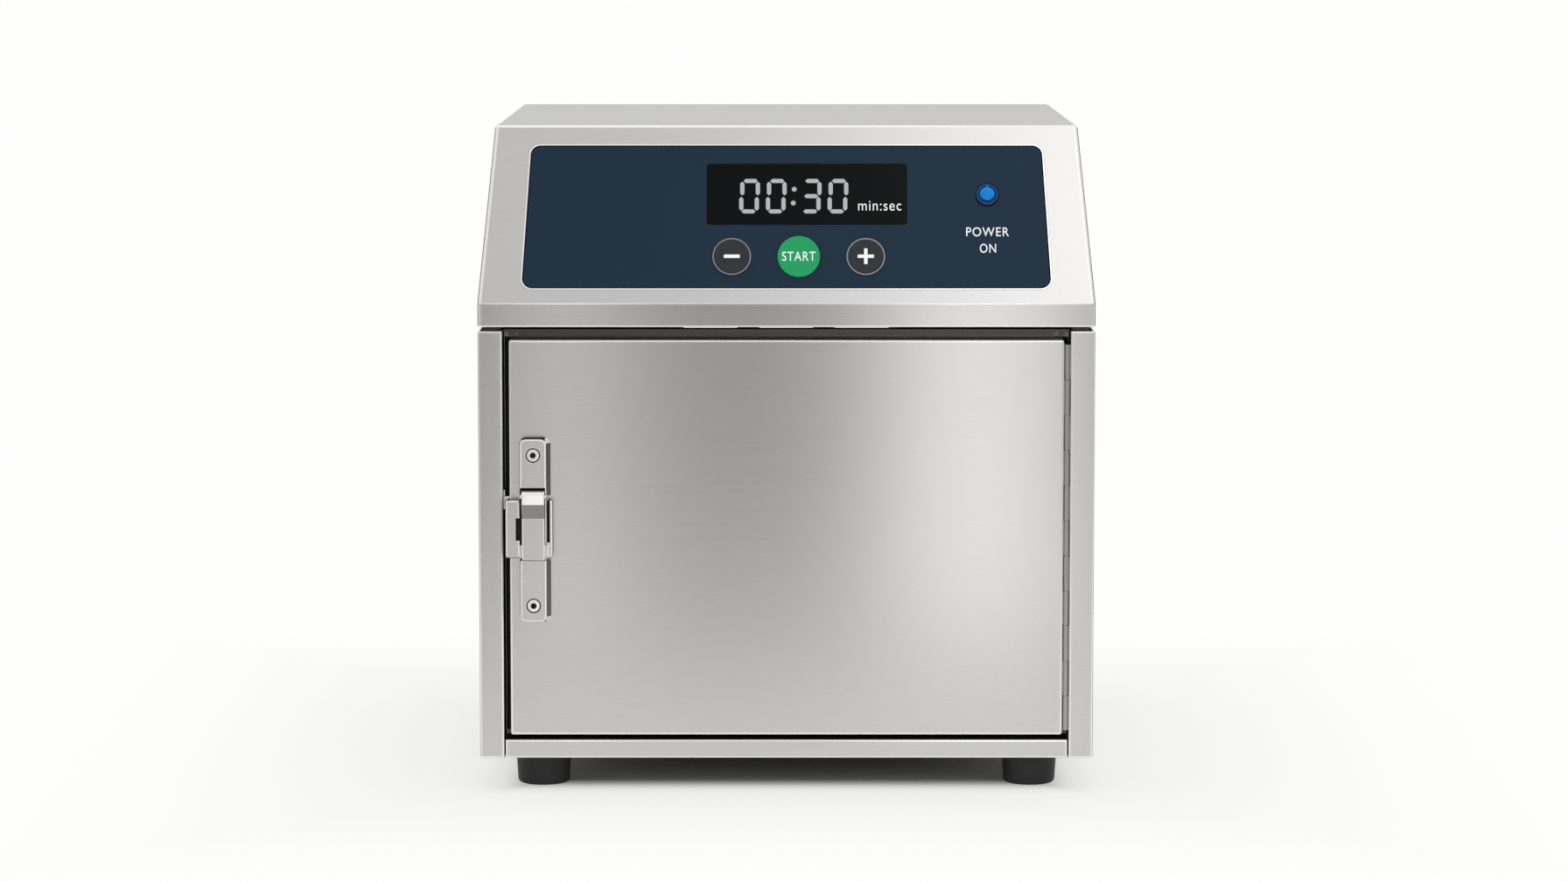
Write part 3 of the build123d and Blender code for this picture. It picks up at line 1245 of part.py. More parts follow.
def pulley(radius, bore, y, z):
    """Flat pulley with a rim on each side of the belt."""
    xs = (PULLEY_X, PULLEY_X + PULLEY_WIDTH)
    wheel = bar_x(radius + PULLEY_RIM_HEIGHT, xs, y, z)
    groove = (xs[0] + PULLEY_RIM, xs[1] - PULLEY_RIM)
    wheel -= bar_x(radius + PULLEY_RIM_HEIGHT + CUT, groove, y, z) - bar_x(radius, groove, y, z)
    return wheel - bar_x(bore, xs, y, z)


def drive_belt():
    """Belt around both pulleys."""
    xs = (PULLEY_X + PULLEY_RIM + BELT_GAP, PULLEY_X + PULLEY_WIDTH - PULLEY_RIM - BELT_GAP)

    def loop(margin):
        crank = Pos(CRANK_Y, DOOR_MID) * Circle(CRANK_PULLEY_RADIUS + margin)
        motor = Pos(MOTOR_Y, MOTOR_Z) * Circle(MOTOR_PULLEY_RADIUS + margin)
        return make_hull((crank + motor).edges())

    return profile(loop(BELT_GAP + BELT_THICKNESS), xs) - profile(loop(BELT_GAP), xs)


def motor_xs():
    face = CRANKCASE_WIDTH / 2
    return (face - MOTOR_LENGTH, face)


def motor():
    """Motor housing with two feet on the base pan and a bore for its shaft."""
    xs = motor_xs()
    housing = bar_x(MOTOR_RADIUS, xs, MOTOR_Y, MOTOR_Z)
    housing = fillet(housing.edges(), MOTOR_FOOT_WIDTH / 5)
    for x in (xs[0] + MOTOR_FOOT_WIDTH, xs[1] - MOTOR_FOOT_WIDTH):
        housing += block(
            (x - MOTOR_FOOT_WIDTH / 2, x + MOTOR_FOOT_WIDTH / 2),
            (MOTOR_DEPTH - MOTOR_RADIUS, MOTOR_DEPTH + MOTOR_RADIUS),
            (FLOOR_Z, MOTOR_Z - MOTOR_RADIUS / 2),
        )
    socket = (xs[1] - MOTOR_SHAFT_SOCKET - SHAFT_FIT, xs[1] + CUT)
    return housing - bar_x(MOTOR_SHAFT_RADIUS + SHAFT_FIT, socket, MOTOR_Y, MOTOR_Z)


def motor_shaft():
    face = CRANKCASE_WIDTH / 2
    return bar_x(
        MOTOR_SHAFT_RADIUS, (face - MOTOR_SHAFT_SOCKET, PULLEY_X + PULLEY_WIDTH), MOTOR_Y, MOTOR_Z
    )


def power_supply():
    xs = (SUPPLY_X - SUPPLY_WIDTH / 2, SUPPLY_X + SUPPLY_WIDTH / 2)
    depths = (CHAMBER_BACK + CRANKCASE_DEPTH + SUPPLY_FROM_CASE, BODY_DEPTH - SUPPLY_FROM_BACK)
    box = block(xs, depths, (FLOOR_Z, FLOOR_Z + SUPPLY_HEIGHT))
    return fillet(box.faces().sort_by(Axis.Z)[-1].edges(), SHEET)


def door_magnet():
    """Magnet on the back of the door, above the seal."""
    z = DOOR_HIGH - SEAL_INSET / 2
    xs = (SENSOR_X - SENSOR_WIDTH / 2, SENSOR_X + SENSOR_WIDTH / 2)
    return block(
        xs, (DOOR_BACK, DOOR_BACK + MAGNET_DEPTH), (z - SENSOR_HEIGHT / 2, z + SENSOR_HEIGHT / 2)
    )


def door_sensor():
    """Sensor behind the chamber's front frame that the magnet closes."""
    z = DOOR_HIGH - SEAL_INSET / 2
    back = CHAMBER_FACE + SHEET
    xs = (SENSOR_X - SENSOR_WIDTH / 2, SENSOR_X + SENSOR_WIDTH / 2)
    return block(xs, (back, back + SENSOR_DEPTH), (z - SENSOR_HEIGHT / 2, z + SENSOR_HEIGHT / 2))


# ---------------------------------------------------------------- power module in the rear panel
def inlet_outline(margin):
    return Pos(INLET_X, INLET_Z) * RectangleRounded(
        INLET_WIDTH + 2 * margin, INLET_HEIGHT + 2 * margin, INLET_CORNER
    )


def behind(outset):
    """Depth of a plane outside the rear panel's outer face."""
    return BODY_DEPTH - REAR_INSET + outset


def power_inlet():
    """Housing with a flange, an appliance socket, a switch opening and a fuse drawer slot."""
    housing = slab(inlet_outline(0), (behind(0), behind(INLET_FLANGE)))
    housing = fillet(housing.faces().sort_by(Axis.Y)[-1].edges(), INLET_FLANGE / 3)
    housing += slab(inlet_outline(-INLET_MARGIN), (behind(-INLET_DEPTH), behind(0)))
    mouth = behind(INLET_FLANGE)
    socket = RectangleRounded(SOCKET_WIDTH, SOCKET_HEIGHT, SOCKET_CORNER)
    housing -= slab(Pos(INLET_X, INLET_Z + SOCKET_RISE) * socket, (mouth - SOCKET_DEPTH, mouth + CUT))
    rocker = Pos(INLET_X, INLET_Z + ROCKER_RISE) * Rectangle(
        ROCKER_WIDTH + 2 * ROCKER_GAP, ROCKER_HEIGHT + 2 * ROCKER_GAP
    )
    rocker_room = ROCKER_DEPTH + ROCKER_HEIGHT * math.sin(math.radians(ROCKER_TILT))
    housing -= slab(rocker, (mouth - rocker_room, mouth + CUT))
    drawer = Pos(INLET_X, INLET_Z + DRAWER_RISE) * Rectangle(
        DRAWER_WIDTH + 2 * DRAWER_GAP, DRAWER_HEIGHT + 2 * DRAWER_GAP
    )
    housing -= slab(drawer, (mouth - DRAWER_LENGTH, mouth + CUT))
    pivot_y = FRONT + mouth - ROCKER_PIVOT
    half = ROCKER_WIDTH / 2 + 2 * ROCKER_GAP
    pin_xs = (INLET_X - half, INLET_X + half)
    return housing - bar_x(ROCKER_STUB_RADIUS + ROCKER_STUB_FIT, pin_xs, pivot_y, INLET_Z + ROCKER_RISE)


def inlet_blades():
    """Three contact blades standing in the socket."""
    root = behind(INLET_FLANGE) - SOCKET_DEPTH
    blades = []
    for column, rise in ((-1, 0), (0, BLADE_STAGGER), (1, 0)):
        x = INLET_X + column * BLADE_PITCH
        z = INLET_Z + SOCKET_RISE + rise
        blades.append(
            block(
                (x - BLADE_THICKNESS / 2, x + BLADE_THICKNESS / 2),
                (root, root + BLADE_LENGTH),
                (z - BLADE_WIDTH / 2, z + BLADE_WIDTH / 2),
            )
        )
    return group(blades)


def power_switch_rocker():
    """Rocker tipped to its ON side, with a pivot stub on each side."""
    mouth = behind(INLET_FLANGE)
    middle_z = INLET_Z + ROCKER_RISE
    pivot = Pos(INLET_X, FRONT + mouth - ROCKER_PIVOT, middle_z)
    body = Pos(0, ROCKER_PIVOT + ROCKER_PROUD - ROCKER_DEPTH / 2, 0) * Box(
        ROCKER_WIDTH, ROCKER_DEPTH, ROCKER_HEIGHT
    )
    body = fillet(body.edges().filter_by(Axis.X).group_by(Axis.Y)[-1], ROCKER_EDGE)
    dish = Pos(0, ROCKER_PIVOT + ROCKER_PROUD + ROCKER_HEIGHT * 2 - ROCKER_EDGE, 0)
    body -= dish * Rot(0, 90, 0) * Cylinder(ROCKER_HEIGHT * 2, ROCKER_WIDTH + CUT)
    body += Rot(0, 90, 0) * Cylinder(ROCKER_STUB_RADIUS, ROCKER_WIDTH + 3 * ROCKER_GAP)
    return pivot * Rot(ROCKER_TILT, 0, 0) * body


def fuse_drawer():
    mouth = behind(INLET_FLANGE)
    outline = Pos(INLET_X, INLET_Z + DRAWER_RISE) * Rectangle(DRAWER_WIDTH, DRAWER_HEIGHT)
    drawer = slab(outline, (mouth - DRAWER_LENGTH + DRAWER_GAP, mouth + DRAWER_PROUD))
    return fillet(drawer.faces().sort_by(Axis.Y)[-1].edges(), DRAWER_PROUD / 3)


# ---------------------------------------------------------------- all pieces
def all_pieces():
    """Every piece by its node name."""
    pieces = {
        "hood_shell": hood_shell(),
        "hood_brackets": hood_brackets(),
        "left_side_panel": side_panel(-1),
        "right_side_panel": side_panel(1),
        "base_pan": base_pan(),
        "front_header": front_header(),
        "rear_panel": rear_panel(),
        "panel_screws": panel_screws(),
        "foot_screws": foot_screws(),
        "control_panel": control_panel(),
        "display_window": display_window(),
        "display_digits": display_digits(),
        "display_module": display_module(),
        "key_rings": key_rings(),
        "control_board": control_board(),
        "power_lamp_bezel": power_lamp_bezel(),
        "power_lamp_lens": power_lamp_lens(),
        "door_shell": door_shell(),
        "door_inner_plate": door_inner_plate(),
        "door_seal": door_seal(),
        "pressure_plate": pressure_plate(),
        "door_hinge_leaf": hinge_leaf(DOOR_HALF, 1),
        "frame_hinge_leaf": hinge_leaf(POST_INNER, 0),
        "hinge_pin": hinge_pin(),
        "latch_housing": latch_housing(),
        "latch_lever": latch_lever(),
        "latch_pin": latch_pin(),
        "latch_screws": latch_screws(),
        "latch_keeper": latch_keeper(),
        "chamber_liner": chamber_liner(),
        "rod_bushes": rod_bushes(),
        "crankcase": crankcase(),
        "crankcase_cover": crankcase_cover(),
        "crank_bearings": crank_bearings(),
        "crankshaft": crankshaft(),
        "crank_pulley": pulley(CRANK_PULLEY_RADIUS, SHAFT_RADIUS, CRANK_Y, DOOR_MID),
        "drive_belt": drive_belt(),
        "motor_pulley": pulley(MOTOR_PULLEY_RADIUS, MOTOR_SHAFT_RADIUS, MOTOR_Y, MOTOR_Z),
        "motor_shaft": motor_shaft(),
        "motor": motor(),
        "power_supply": power_supply(),
        "door_magnet": door_magnet(),
        "door_sensor": door_sensor(),
        "power_inlet": power_inlet(),
        "inlet_blades": inlet_blades(),
        "power_switch_rocker": power_switch_rocker(),
        "fuse_drawer": fuse_drawer(),
    }
    for name, (x, y) in foot_places().items():
        pieces[name] = foot(x, y)
    for name, (x, radius) in button_places().items():
        pieces[name] = button(x, radius)
    for name, side in SIDES.items():
        pieces[f"{name}_paddle"] = paddle(side)
        pieces[f"{name}_paddle_rods"] = paddle_rods(side)
        pieces[f"{name}_crosshead"] = crosshead(side)
    return pieces


os.makedirs("parts", exist_ok=True)
for piece_name, piece in all_pieces().items():
    export_step(piece, f"parts/{piece_name}.step")
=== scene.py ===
"""Looks for the paddle blender homogenizer: finishes, lettering, small trim, light and camera.

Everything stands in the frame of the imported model: X to the right, Y to the back, Z up. The sizes
of pieces are in millimetres until they reach a mesh. The room, its lights and the camera are in
metres.
"""

import math

import bmesh
import bpy
from mathutils import Matrix, Vector


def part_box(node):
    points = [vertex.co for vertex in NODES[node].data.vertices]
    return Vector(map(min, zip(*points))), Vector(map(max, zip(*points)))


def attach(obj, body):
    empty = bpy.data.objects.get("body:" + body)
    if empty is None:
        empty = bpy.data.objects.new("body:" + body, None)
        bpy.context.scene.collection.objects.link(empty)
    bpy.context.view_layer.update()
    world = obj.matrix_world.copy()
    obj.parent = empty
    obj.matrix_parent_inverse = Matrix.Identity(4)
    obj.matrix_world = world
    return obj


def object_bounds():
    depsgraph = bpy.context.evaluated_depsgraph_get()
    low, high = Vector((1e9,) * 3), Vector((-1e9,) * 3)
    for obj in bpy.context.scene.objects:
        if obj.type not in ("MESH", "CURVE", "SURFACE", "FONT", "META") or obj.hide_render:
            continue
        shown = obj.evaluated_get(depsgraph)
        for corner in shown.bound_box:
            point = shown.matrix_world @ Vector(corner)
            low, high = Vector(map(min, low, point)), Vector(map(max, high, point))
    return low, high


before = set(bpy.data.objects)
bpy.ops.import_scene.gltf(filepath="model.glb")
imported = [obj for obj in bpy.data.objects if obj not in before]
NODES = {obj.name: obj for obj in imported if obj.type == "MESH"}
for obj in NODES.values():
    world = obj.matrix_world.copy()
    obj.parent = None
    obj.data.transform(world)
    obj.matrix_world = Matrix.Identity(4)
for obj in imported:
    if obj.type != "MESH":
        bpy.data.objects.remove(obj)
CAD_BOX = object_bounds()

MM = 0.001

# The photograph's view, from a pinhole fit of the body's edges: metres, degrees and millimetres
CAMERA_DISTANCE = 3.0
CAMERA_HEIGHT = 0.546
CAMERA_SIDE = -0.0015
CAMERA_PITCH = 6.24
LENS = 112.4
SENSOR = 36.0


# ---------------------------------------------------------------- node trees
class Graph:
    """A node tree, with short ways to add to it."""

    def __init__(self, tree):
        self.tree = tree

    def node(self, kind, **values):
        made = self.tree.nodes.new(kind)
        for name, value in values.items():
            setattr(made, name, value)
        return made

    def link(self, source, target):
        self.tree.links.new(source, target)

    def feed(self, value, socket):
        """Link an output to a socket, or set the socket to a plain number."""
        if isinstance(value, (int, float)):
            socket.default_value = value
        else:
            self.link(value, socket)

    def axes(self, coordinates):
        """X, Y and Z outputs of a kind of texture coordinates."""
        place = self.node("ShaderNodeTexCoord")
        split = self.node("ShaderNodeSeparateXYZ")
        self.link(place.outputs[coordinates], split.inputs["Vector"])
        return split.outputs

    def noise(self, scale, detail=2.0, roughness=0.5):
        """Noise over the object, with one scale or one for each axis, in cycles per metre."""
        place = self.node("ShaderNodeTexCoord")
        mapping = self.node("ShaderNodeMapping")
        mapping.inputs["Scale"].default_value = scale if isinstance(scale, tuple) else (scale,) * 3
        self.link(place.outputs["Object"], mapping.inputs["Vector"])
        made = self.node("ShaderNodeTexNoise")
        made.inputs["Scale"].default_value = 1.0
        made.inputs["Detail"].default_value = detail
        made.inputs["Roughness"].default_value = roughness
        self.link(mapping.outputs["Vector"], made.inputs["Vector"])
        return made.outputs["Fac"]

    def math(self, operation, *values):
        made = self.node("ShaderNodeMath", operation=operation)
        for value, socket in zip(values, made.inputs):
            self.feed(value, socket)
        return made.outputs[0]

    def mix(self, factor, a, b):
        """Number between a and b, by a factor."""
        made = self.node("ShaderNodeMix", data_type="FLOAT")
        for value, name in ((factor, "Factor"), (a, "A"), (b, "B")):
            self.feed(value, made.inputs[name])
        return made.outputs["Result"]

    def span(self, value, source, target, shape="SMOOTHSTEP"):
        """Number that crosses the target range while the value crosses the source range."""
        made = self.node("ShaderNodeMapRange", interpolation_type=shape)
        limits = zip(("From Min", "From Max", "To Min", "To Max"), (*source, *target))
        for name, number in limits:
            made.inputs[name].default_value = number
        self.link(value, made.inputs["Value"])
        return made.outputs["Result"]

    def switch(self, seen, plain, shown, output):
        """Give the tree's output the plain shader, and the shown one to the rays that see it."""
        mix = self.node("ShaderNodeMixShader")
        self.link(seen, mix.inputs["Fac"])
        self.link(plain.outputs[0], mix.inputs[1])
        self.link(shown.outputs[0], mix.inputs[2])
        self.link(mix.outputs[0], self.tree.nodes[output].inputs["Surface"])


class Shader(Graph):
    """A material's node tree with its Principled shader."""

    def __init__(self, name, color, roughness, metallic=0.0, **values):
        self.material = bpy.data.materials.new(name)
        self.material.use_nodes = True
        super().__init__(self.material.node_tree)
        self.surface = self.tree.nodes["Principled BSDF"]
        self.set("Base Color", color)
        self.set("Roughness", roughness)
        self.set("Metallic", metallic)
        for socket, value in values.items():
            self.set(socket.replace("_", " "), value)

    def set(self, socket, value):
        self.surface.inputs[socket].default_value = value

    def tint(self, factor, dark, light):
        """Colour between two, by a factor."""
        made = self.node("ShaderNodeMix", data_type="RGBA")
        made.inputs["A"].default_value = dark
        made.inputs["B"].default_value = light
        self.link(factor, made.inputs["Factor"])
        self.link(made.outputs["Result"], self.surface.inputs["Base Color"])

    def shade(self, factor, color, darkest, lightest):
        """One colour between two shares of its brightness, by a factor."""
        self.tint(factor, dimmed(color, darkest), dimmed(color, lightest))

    def roughen(self, factor, lowest, highest):
        """Roughness between two values, by a factor."""
        rough = self.span(factor, (0, 1), (lowest, highest), shape="LINEAR")
        self.link(rough, self.surface.inputs["Roughness"])

    def bump(self, height, strength, relief):
        """Relief in millimetres, from a height between 0 and 1."""
        made = self.node("ShaderNodeBump")
        made.inputs["Strength"].default_value = strength
        made.inputs["Distance"].default_value = relief * MM
        self.link(height, made.inputs["Height"])
        self.link(made.outputs["Normal"], self.surface.inputs["Normal"])


def srgb(r, g, b):
    """Linear colour of an 8-bit sRGB one."""

    def linear(value):
        value /= 255
        return value / 12.92 if value <= 0.04045 else ((value + 0.055) / 1.055) ** 2.4

    return (linear(r), linear(g), linear(b), 1.0)


def dimmed(color, share):
    return tuple(channel * share for channel in color[:3]) + (1.0,)


# ---------------------------------------------------------------- materials
EDGE_TINT = (0.72, 0.72, 0.72, 1)
RIM_TINT = (0.3, 0.3, 0.3, 1)
WHITE = (0.99, 0.99, 0.985, 1)

# Scales of the textures, in cycles per metre
ALONG_BRUSHING = 14.0
ACROSS_BRUSHING = 1400.0
WEAR = 900
CAST_MOTTLE = 350
ORANGE_PEEL = 1600
PAINT_CLOUDS = 18
DUST = 120
PORES = 2200
WINDOW_HAZE = 60
PLASTIC_GRAIN = 1800
PRINT_GRAIN = 2500

# A face counts as level from this part of its normal on Z
LEVEL_FROM = 0.9
STREAK_CONTRAST = 0.024
STREAK_ROUGHNESS = 0.016
# Share of a polished piece's roughness where it is least and most worn
POLISH_SPREAD = (0.7, 1.4)
PEEL_SMOOTHER = 0.05
PEEL_ROUGHER = 0.07


def brushed(name, color, roughness, contrast=STREAK_CONTRAST):
    """Brushed steel: streaks run level on upright faces and along X on level ones."""
    steel = Shader(name, color, roughness, metallic=1.0, Specular_Tint=EDGE_TINT)
    upward = steel.math("ABSOLUTE", steel.axes("Normal")["Z"])
    level = steel.math("GREATER_THAN", upward, LEVEL_FROM)
    on_upright = steel.noise((ALONG_BRUSHING, ALONG_BRUSHING, ACROSS_BRUSHING))
    on_level = steel.noise((ALONG_BRUSHING, ACROSS_BRUSHING, ALONG_BRUSHING))
    streaks = steel.mix(level, on_upright, on_level)
    steel.shade(streaks, color, 1 - contrast, 1 + contrast)
    steel.roughen(streaks, roughness - STREAK_ROUGHNESS, roughness + STREAK_ROUGHNESS)
    steel.bump(streaks, strength=0.002, relief=0.02)
    return steel.material


def polished(name, color, roughness, tint=(1, 1, 1, 1), metallic=1.0):
    """Bright turned steel with faint wear."""
    steel = Shader(name, color, roughness, metallic, Specular_Tint=tint)
    wear = steel.noise(WEAR, detail=4.0)
    steel.roughen(wear, *(roughness * share for share in POLISH_SPREAD))
    steel.bump(wear, strength=0.1, relief=0.02)
    return steel.material


def cast(name, color, roughness=0.5):
    """Sand-cast or galvanised metal with a mottled skin."""
    metal = Shader(name, color, roughness, metallic=1.0)
    mottle = metal.noise(CAST_MOTTLE, detail=5.0)
    metal.shade(mottle, color, darkest=0.82, lightest=1.1)
    metal.bump(mottle, strength=0.4, relief=0.15)
    return metal.material


def painted(name, color, roughness=0.4, grain=0.08, specular=0.5):
    """Sprayed or moulded surface with a fine orange-peel texture."""
    paint = Shader(name, color, roughness, Specular_IOR_Level=specular)
    paint.shade(paint.noise(PAINT_CLOUDS), color, 1 - grain, 1 + grain)
    peel = paint.noise(ORANGE_PEEL, detail=3.0)
    paint.roughen(peel, roughness - PEEL_SMOOTHER, roughness + PEEL_ROUGHER)
    paint.bump(peel, strength=0.12, relief=0.03)
    return paint.material


def rubber(name, color, roughness=0.62):
    """Moulded rubber with a matte, slightly dusty skin."""
    skin = Shader(name, color, roughness)
    dust = skin.noise(DUST, detail=6.0, roughness=0.7)
    skin.shade(dust, color, darkest=0.8, lightest=1.5)
    skin.bump(skin.noise(PORES), strength=0.25, relief=0.05)
    return skin.material


def smoked_glass(name):
    """Dark display window with a faint haze."""
    window = Shader(name, srgb(8, 11, 12), 0.2, Specular_IOR_Level=0.08)
    haze = window.noise(WINDOW_HAZE, detail=3.0)
    window.tint(haze, srgb(6, 8, 9), srgb(10, 13, 14))
    return window.material


def lit(name, color, strength, roughness=0.35):
    """Light-emitting plastic with a faint grain."""
    glow = {"Emission_Color": color, "Emission_Strength": strength, "Specular_IOR_Level": 0.25}
    plastic = Shader(name, color, roughness, **glow)
    grain = plastic.noise(PLASTIC_GRAIN)
    plastic.shade(grain, color, darkest=0.9, lightest=1.1)
    plastic.bump(grain, strength=0.05, relief=0.02)
    return plastic.material


def ink(name, color):
    """Screen-printed lettering, with a faint painted glow."""
    # Its emission is a painted glow that brightens the print, which is no lamp
    layer = Shader(name, color, 0.5, Emission_Color=color, Emission_Strength=0.3)
    layer.shade(layer.noise(PRINT_GRAIN), color, darkest=0.94, lightest=1.0)
    return layer.material


def make_materials():
    return {
        "casing": brushed("casing_steel", srgb(208, 207, 205), 0.28),
        "inner": brushed("inner_steel", srgb(176, 176, 176), 0.42, contrast=0.04),
        # Darker steel: painted shade on the recessed header over the door
        "painted_shade_inner": brushed("shadowed_steel", srgb(112, 109, 103), 0.5, contrast=0.04),
        # Near-white and partly metallic, bright from any side: a painted highlight on rounded edges
        "edge": polished("painted_highlight_edge", srgb(250, 249, 247), 0.2, RIM_TINT, 0.6),
        # Dark steel: painted shade along the outermost edges of the hood and side panels
        "rim": brushed("painted_shade_rim", srgb(60, 60, 59), 0.4),
        # Near-white and barely metallic: a painted highlight on the latch's edges and right wall
        "latch_painted_highlight": polished("latch_painted_highlight", srgb(253, 252, 250), 0.25, RIM_TINT, 0.1),
        # Darker steel: painted shade on the latch's sides and the lever's lower facet
        "painted_shade_flank": brushed("shaded_steel", srgb(142, 141, 139), 0.34),
        # Near-black: painted shade in the door's gap, the latch's recesses and its screws' sockets
        "gap": painted("gap_shadow", srgb(34, 34, 35), 0.6, specular=0.15),
        "bright": polished("turned_steel", srgb(214, 213, 211), 0.16),
        "cast": cast("cast_metal", srgb(168, 169, 171)),
        "zinc": cast("zinc_plate", srgb(184, 187, 190), 0.38),
        "bronze": polished("bearing_bronze", srgb(188, 148, 88), 0.3),
        "navy": painted("navy_faceplate", srgb(23, 47, 66), 0.42, specular=0.18),
        "display": smoked_glass("smoked_window"),
        "digits": lit("lit_segments", srgb(176, 178, 179), 0.22),
        "charcoal": painted("charcoal_key", srgb(45, 48, 53), 0.45, specular=0.25),
        "green": painted("green_key", srgb(24, 170, 102), 0.42, grain=0.03, specular=0.3),
        "ring": polished("grey_ring", srgb(130, 132, 136), 0.3),
        "black": painted("black_moulding", srgb(26, 26, 28), 0.5),
        "lens": lit("blue_lens", srgb(0, 116, 190), 0.36, 0.3),
        "lens_rim": painted("blue_lens_rim", srgb(2, 48, 112), 0.35, specular=0.15),
        # Lighter blue: a painted highlight in a ring on the lens's flange
        "lamp_highlight_ring": painted("lamp_painted_highlight_ring", srgb(36, 90, 152), 0.35, specular=0.3),
        "bezel": painted("lamp_bezel", srgb(10, 13, 20), 0.45, specular=0.15),
        # Near-black: a painted shadow line round the faceplate
        "border": painted("faceplate_painted_shadow", srgb(14, 17, 22), 0.5, specular=0.1),
        "board": painted("green_board", srgb(22, 92, 52), 0.4),
        "rubber": rubber("foot_rubber", srgb(24, 24, 24)),
        "belt": rubber("belt_rubber", srgb(28, 28, 30)),
        "seal": rubber("seal_rubber", srgb(62, 63, 65), 0.6),
        "motor": painted("motor_enamel", srgb(58, 62, 68), 0.35),
        "ink": ink("white_print_painted_glow", srgb(236, 238, 240)),
    }


NODE_MATERIALS = {
    "casing": (
        "hood_shell", "left_side_panel", "right_side_panel", "base_pan", "rear_panel", "door_shell",
        "latch_housing", "latch_lever",
    ),
    "inner": (
        "door_inner_plate", "pressure_plate", "chamber_liner", "left_paddle", "right_paddle",
        "door_hinge_leaf", "frame_hinge_leaf",
    ),
    # The header over the door, darkened as painted shade
    "painted_shade_inner": ("front_header",),
    "bright": (
        "panel_screws", "foot_screws", "hinge_pin", "latch_pin", "latch_screws", "latch_keeper",
        "left_paddle_rods", "right_paddle_rods", "crankshaft", "crank_bearings", "motor_shaft",
        "inlet_blades",
    ),
    "cast": (
        "crankcase", "crankcase_cover", "crank_pulley", "motor_pulley", "left_crosshead",
        "right_crosshead",
    ),
    "zinc": ("hood_brackets", "power_supply"),
    "bronze": ("rod_bushes",),
    "navy": ("control_panel",),
    "display": ("display_window",),
    "digits": ("display_digits",),
    "charcoal": ("minus_button", "plus_button"),
    "green": ("start_button",),
    "ring": ("key_rings",),
    "black": (
        "display_module", "door_magnet", "door_sensor", "power_inlet", "power_switch_rocker",
        "fuse_drawer",
    ),
    "bezel": ("power_lamp_bezel",),
    "lens": ("power_lamp_lens",),
    "board": ("control_board",),
    "rubber": ("foot_front_left", "foot_front_right", "foot_rear_left", "foot_rear_right"),
    "belt": ("drive_belt",),
    "seal": ("door_seal",),
    "motor": ("motor",),
}


# ---------------------------------------------------------------- finishes on parts of a node
# Least areas of a flat face, in square millimetres, on the sheets and on the latch
FLAT_AREA = 1500.0
LATCH_FLAT_AREA = 60.0

# Lengths that pick faces out of a node, in millimetres
GAP_FROM = 2.2
GAP_LOWEST = 22.5
LATCH_EDGE_DEPTH = 1.2
WINDOW_HALF = 7.25
SCREW_SEAT = 4.9
SCREW_SOCKET = 2.4
SOCKET_FROM = 0.3
DOME_RADIUS = 4.5

# Parts of a face's normal
SIDEWAYS = 0.9
RIM_SIDEWAYS = 0.8
FACET = 0.2
GAP_WALL = 0.5

EDGED_NODES = ("hood_shell", "door_shell", "left_side_panel", "right_side_panel", "base_pan")
RIMMED_NODES = ("hood_shell", "left_side_panel", "right_side_panel")
GAP_NODES = ("left_side_panel", "right_side_panel", "base_pan")


def dress_nodes(materials):
    """Give each node of the frame its material."""
    for key, names in NODE_MATERIALS.items():
        for name in names:
            slots = NODES[name].data.materials
            slots.clear()
            slots.append(materials[key])


def repaint(name, material, chosen):
    """Give the chosen faces of a node another finish; faces are seen in millimetres."""
    mesh = NODES[name].data
    mesh.materials.append(material)
    for face in mesh.polygons:
        if chosen(face.center / MM, face.normal):
            face.material_index = len(mesh.materials) - 1


def rounded(normal):
    return tuple(round(value, 2) for value in normal)


def bends(name, smallest):
    """Test for the strips of a node's rounded edges, which face no way that a broad face does."""
    areas = {}
    for face in NODES[name].data.polygons:
        key = rounded(face.normal)
        areas[key] = areas.get(key, 0) + face.area / MM**2
    flats = {key for key, area in areas.items() if area > smallest}
    return lambda point, normal: rounded(normal) not in flats


def finish_edges(materials):
    """Painted highlights on the sheets' rounded edges, painted shade on the outermost ones and in
    the door's gap.
    """
    for name in EDGED_NODES:
        # Painted highlight on every rounded edge of the sheets
        repaint(name, materials["edge"], bends(name, FLAT_AREA))
    for name in RIMMED_NODES:
        bent = bends(name, FLAT_AREA)

        def outermost(point, normal):
            outward = normal.x * point.x > 0 and abs(normal.x) > RIM_SIDEWAYS and normal.y < 0
            return outward and bent(point, normal)

        # Painted shade on the outermost edges, over their painted highlight
        repaint(name, materials["rim"], outermost)
    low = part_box("left_side_panel")[0] / MM

    def in_gap(point, normal):
        inside = abs(point.x) < abs(low.x) - GAP_FROM and point.z > GAP_LOWEST
        return inside and point.y > low.y + GAP_FROM and abs(normal.y) < GAP_WALL

    # Painted shade on the faces inside the door's gap
    for name in GAP_NODES:
        repaint(name, materials["gap"], in_gap)


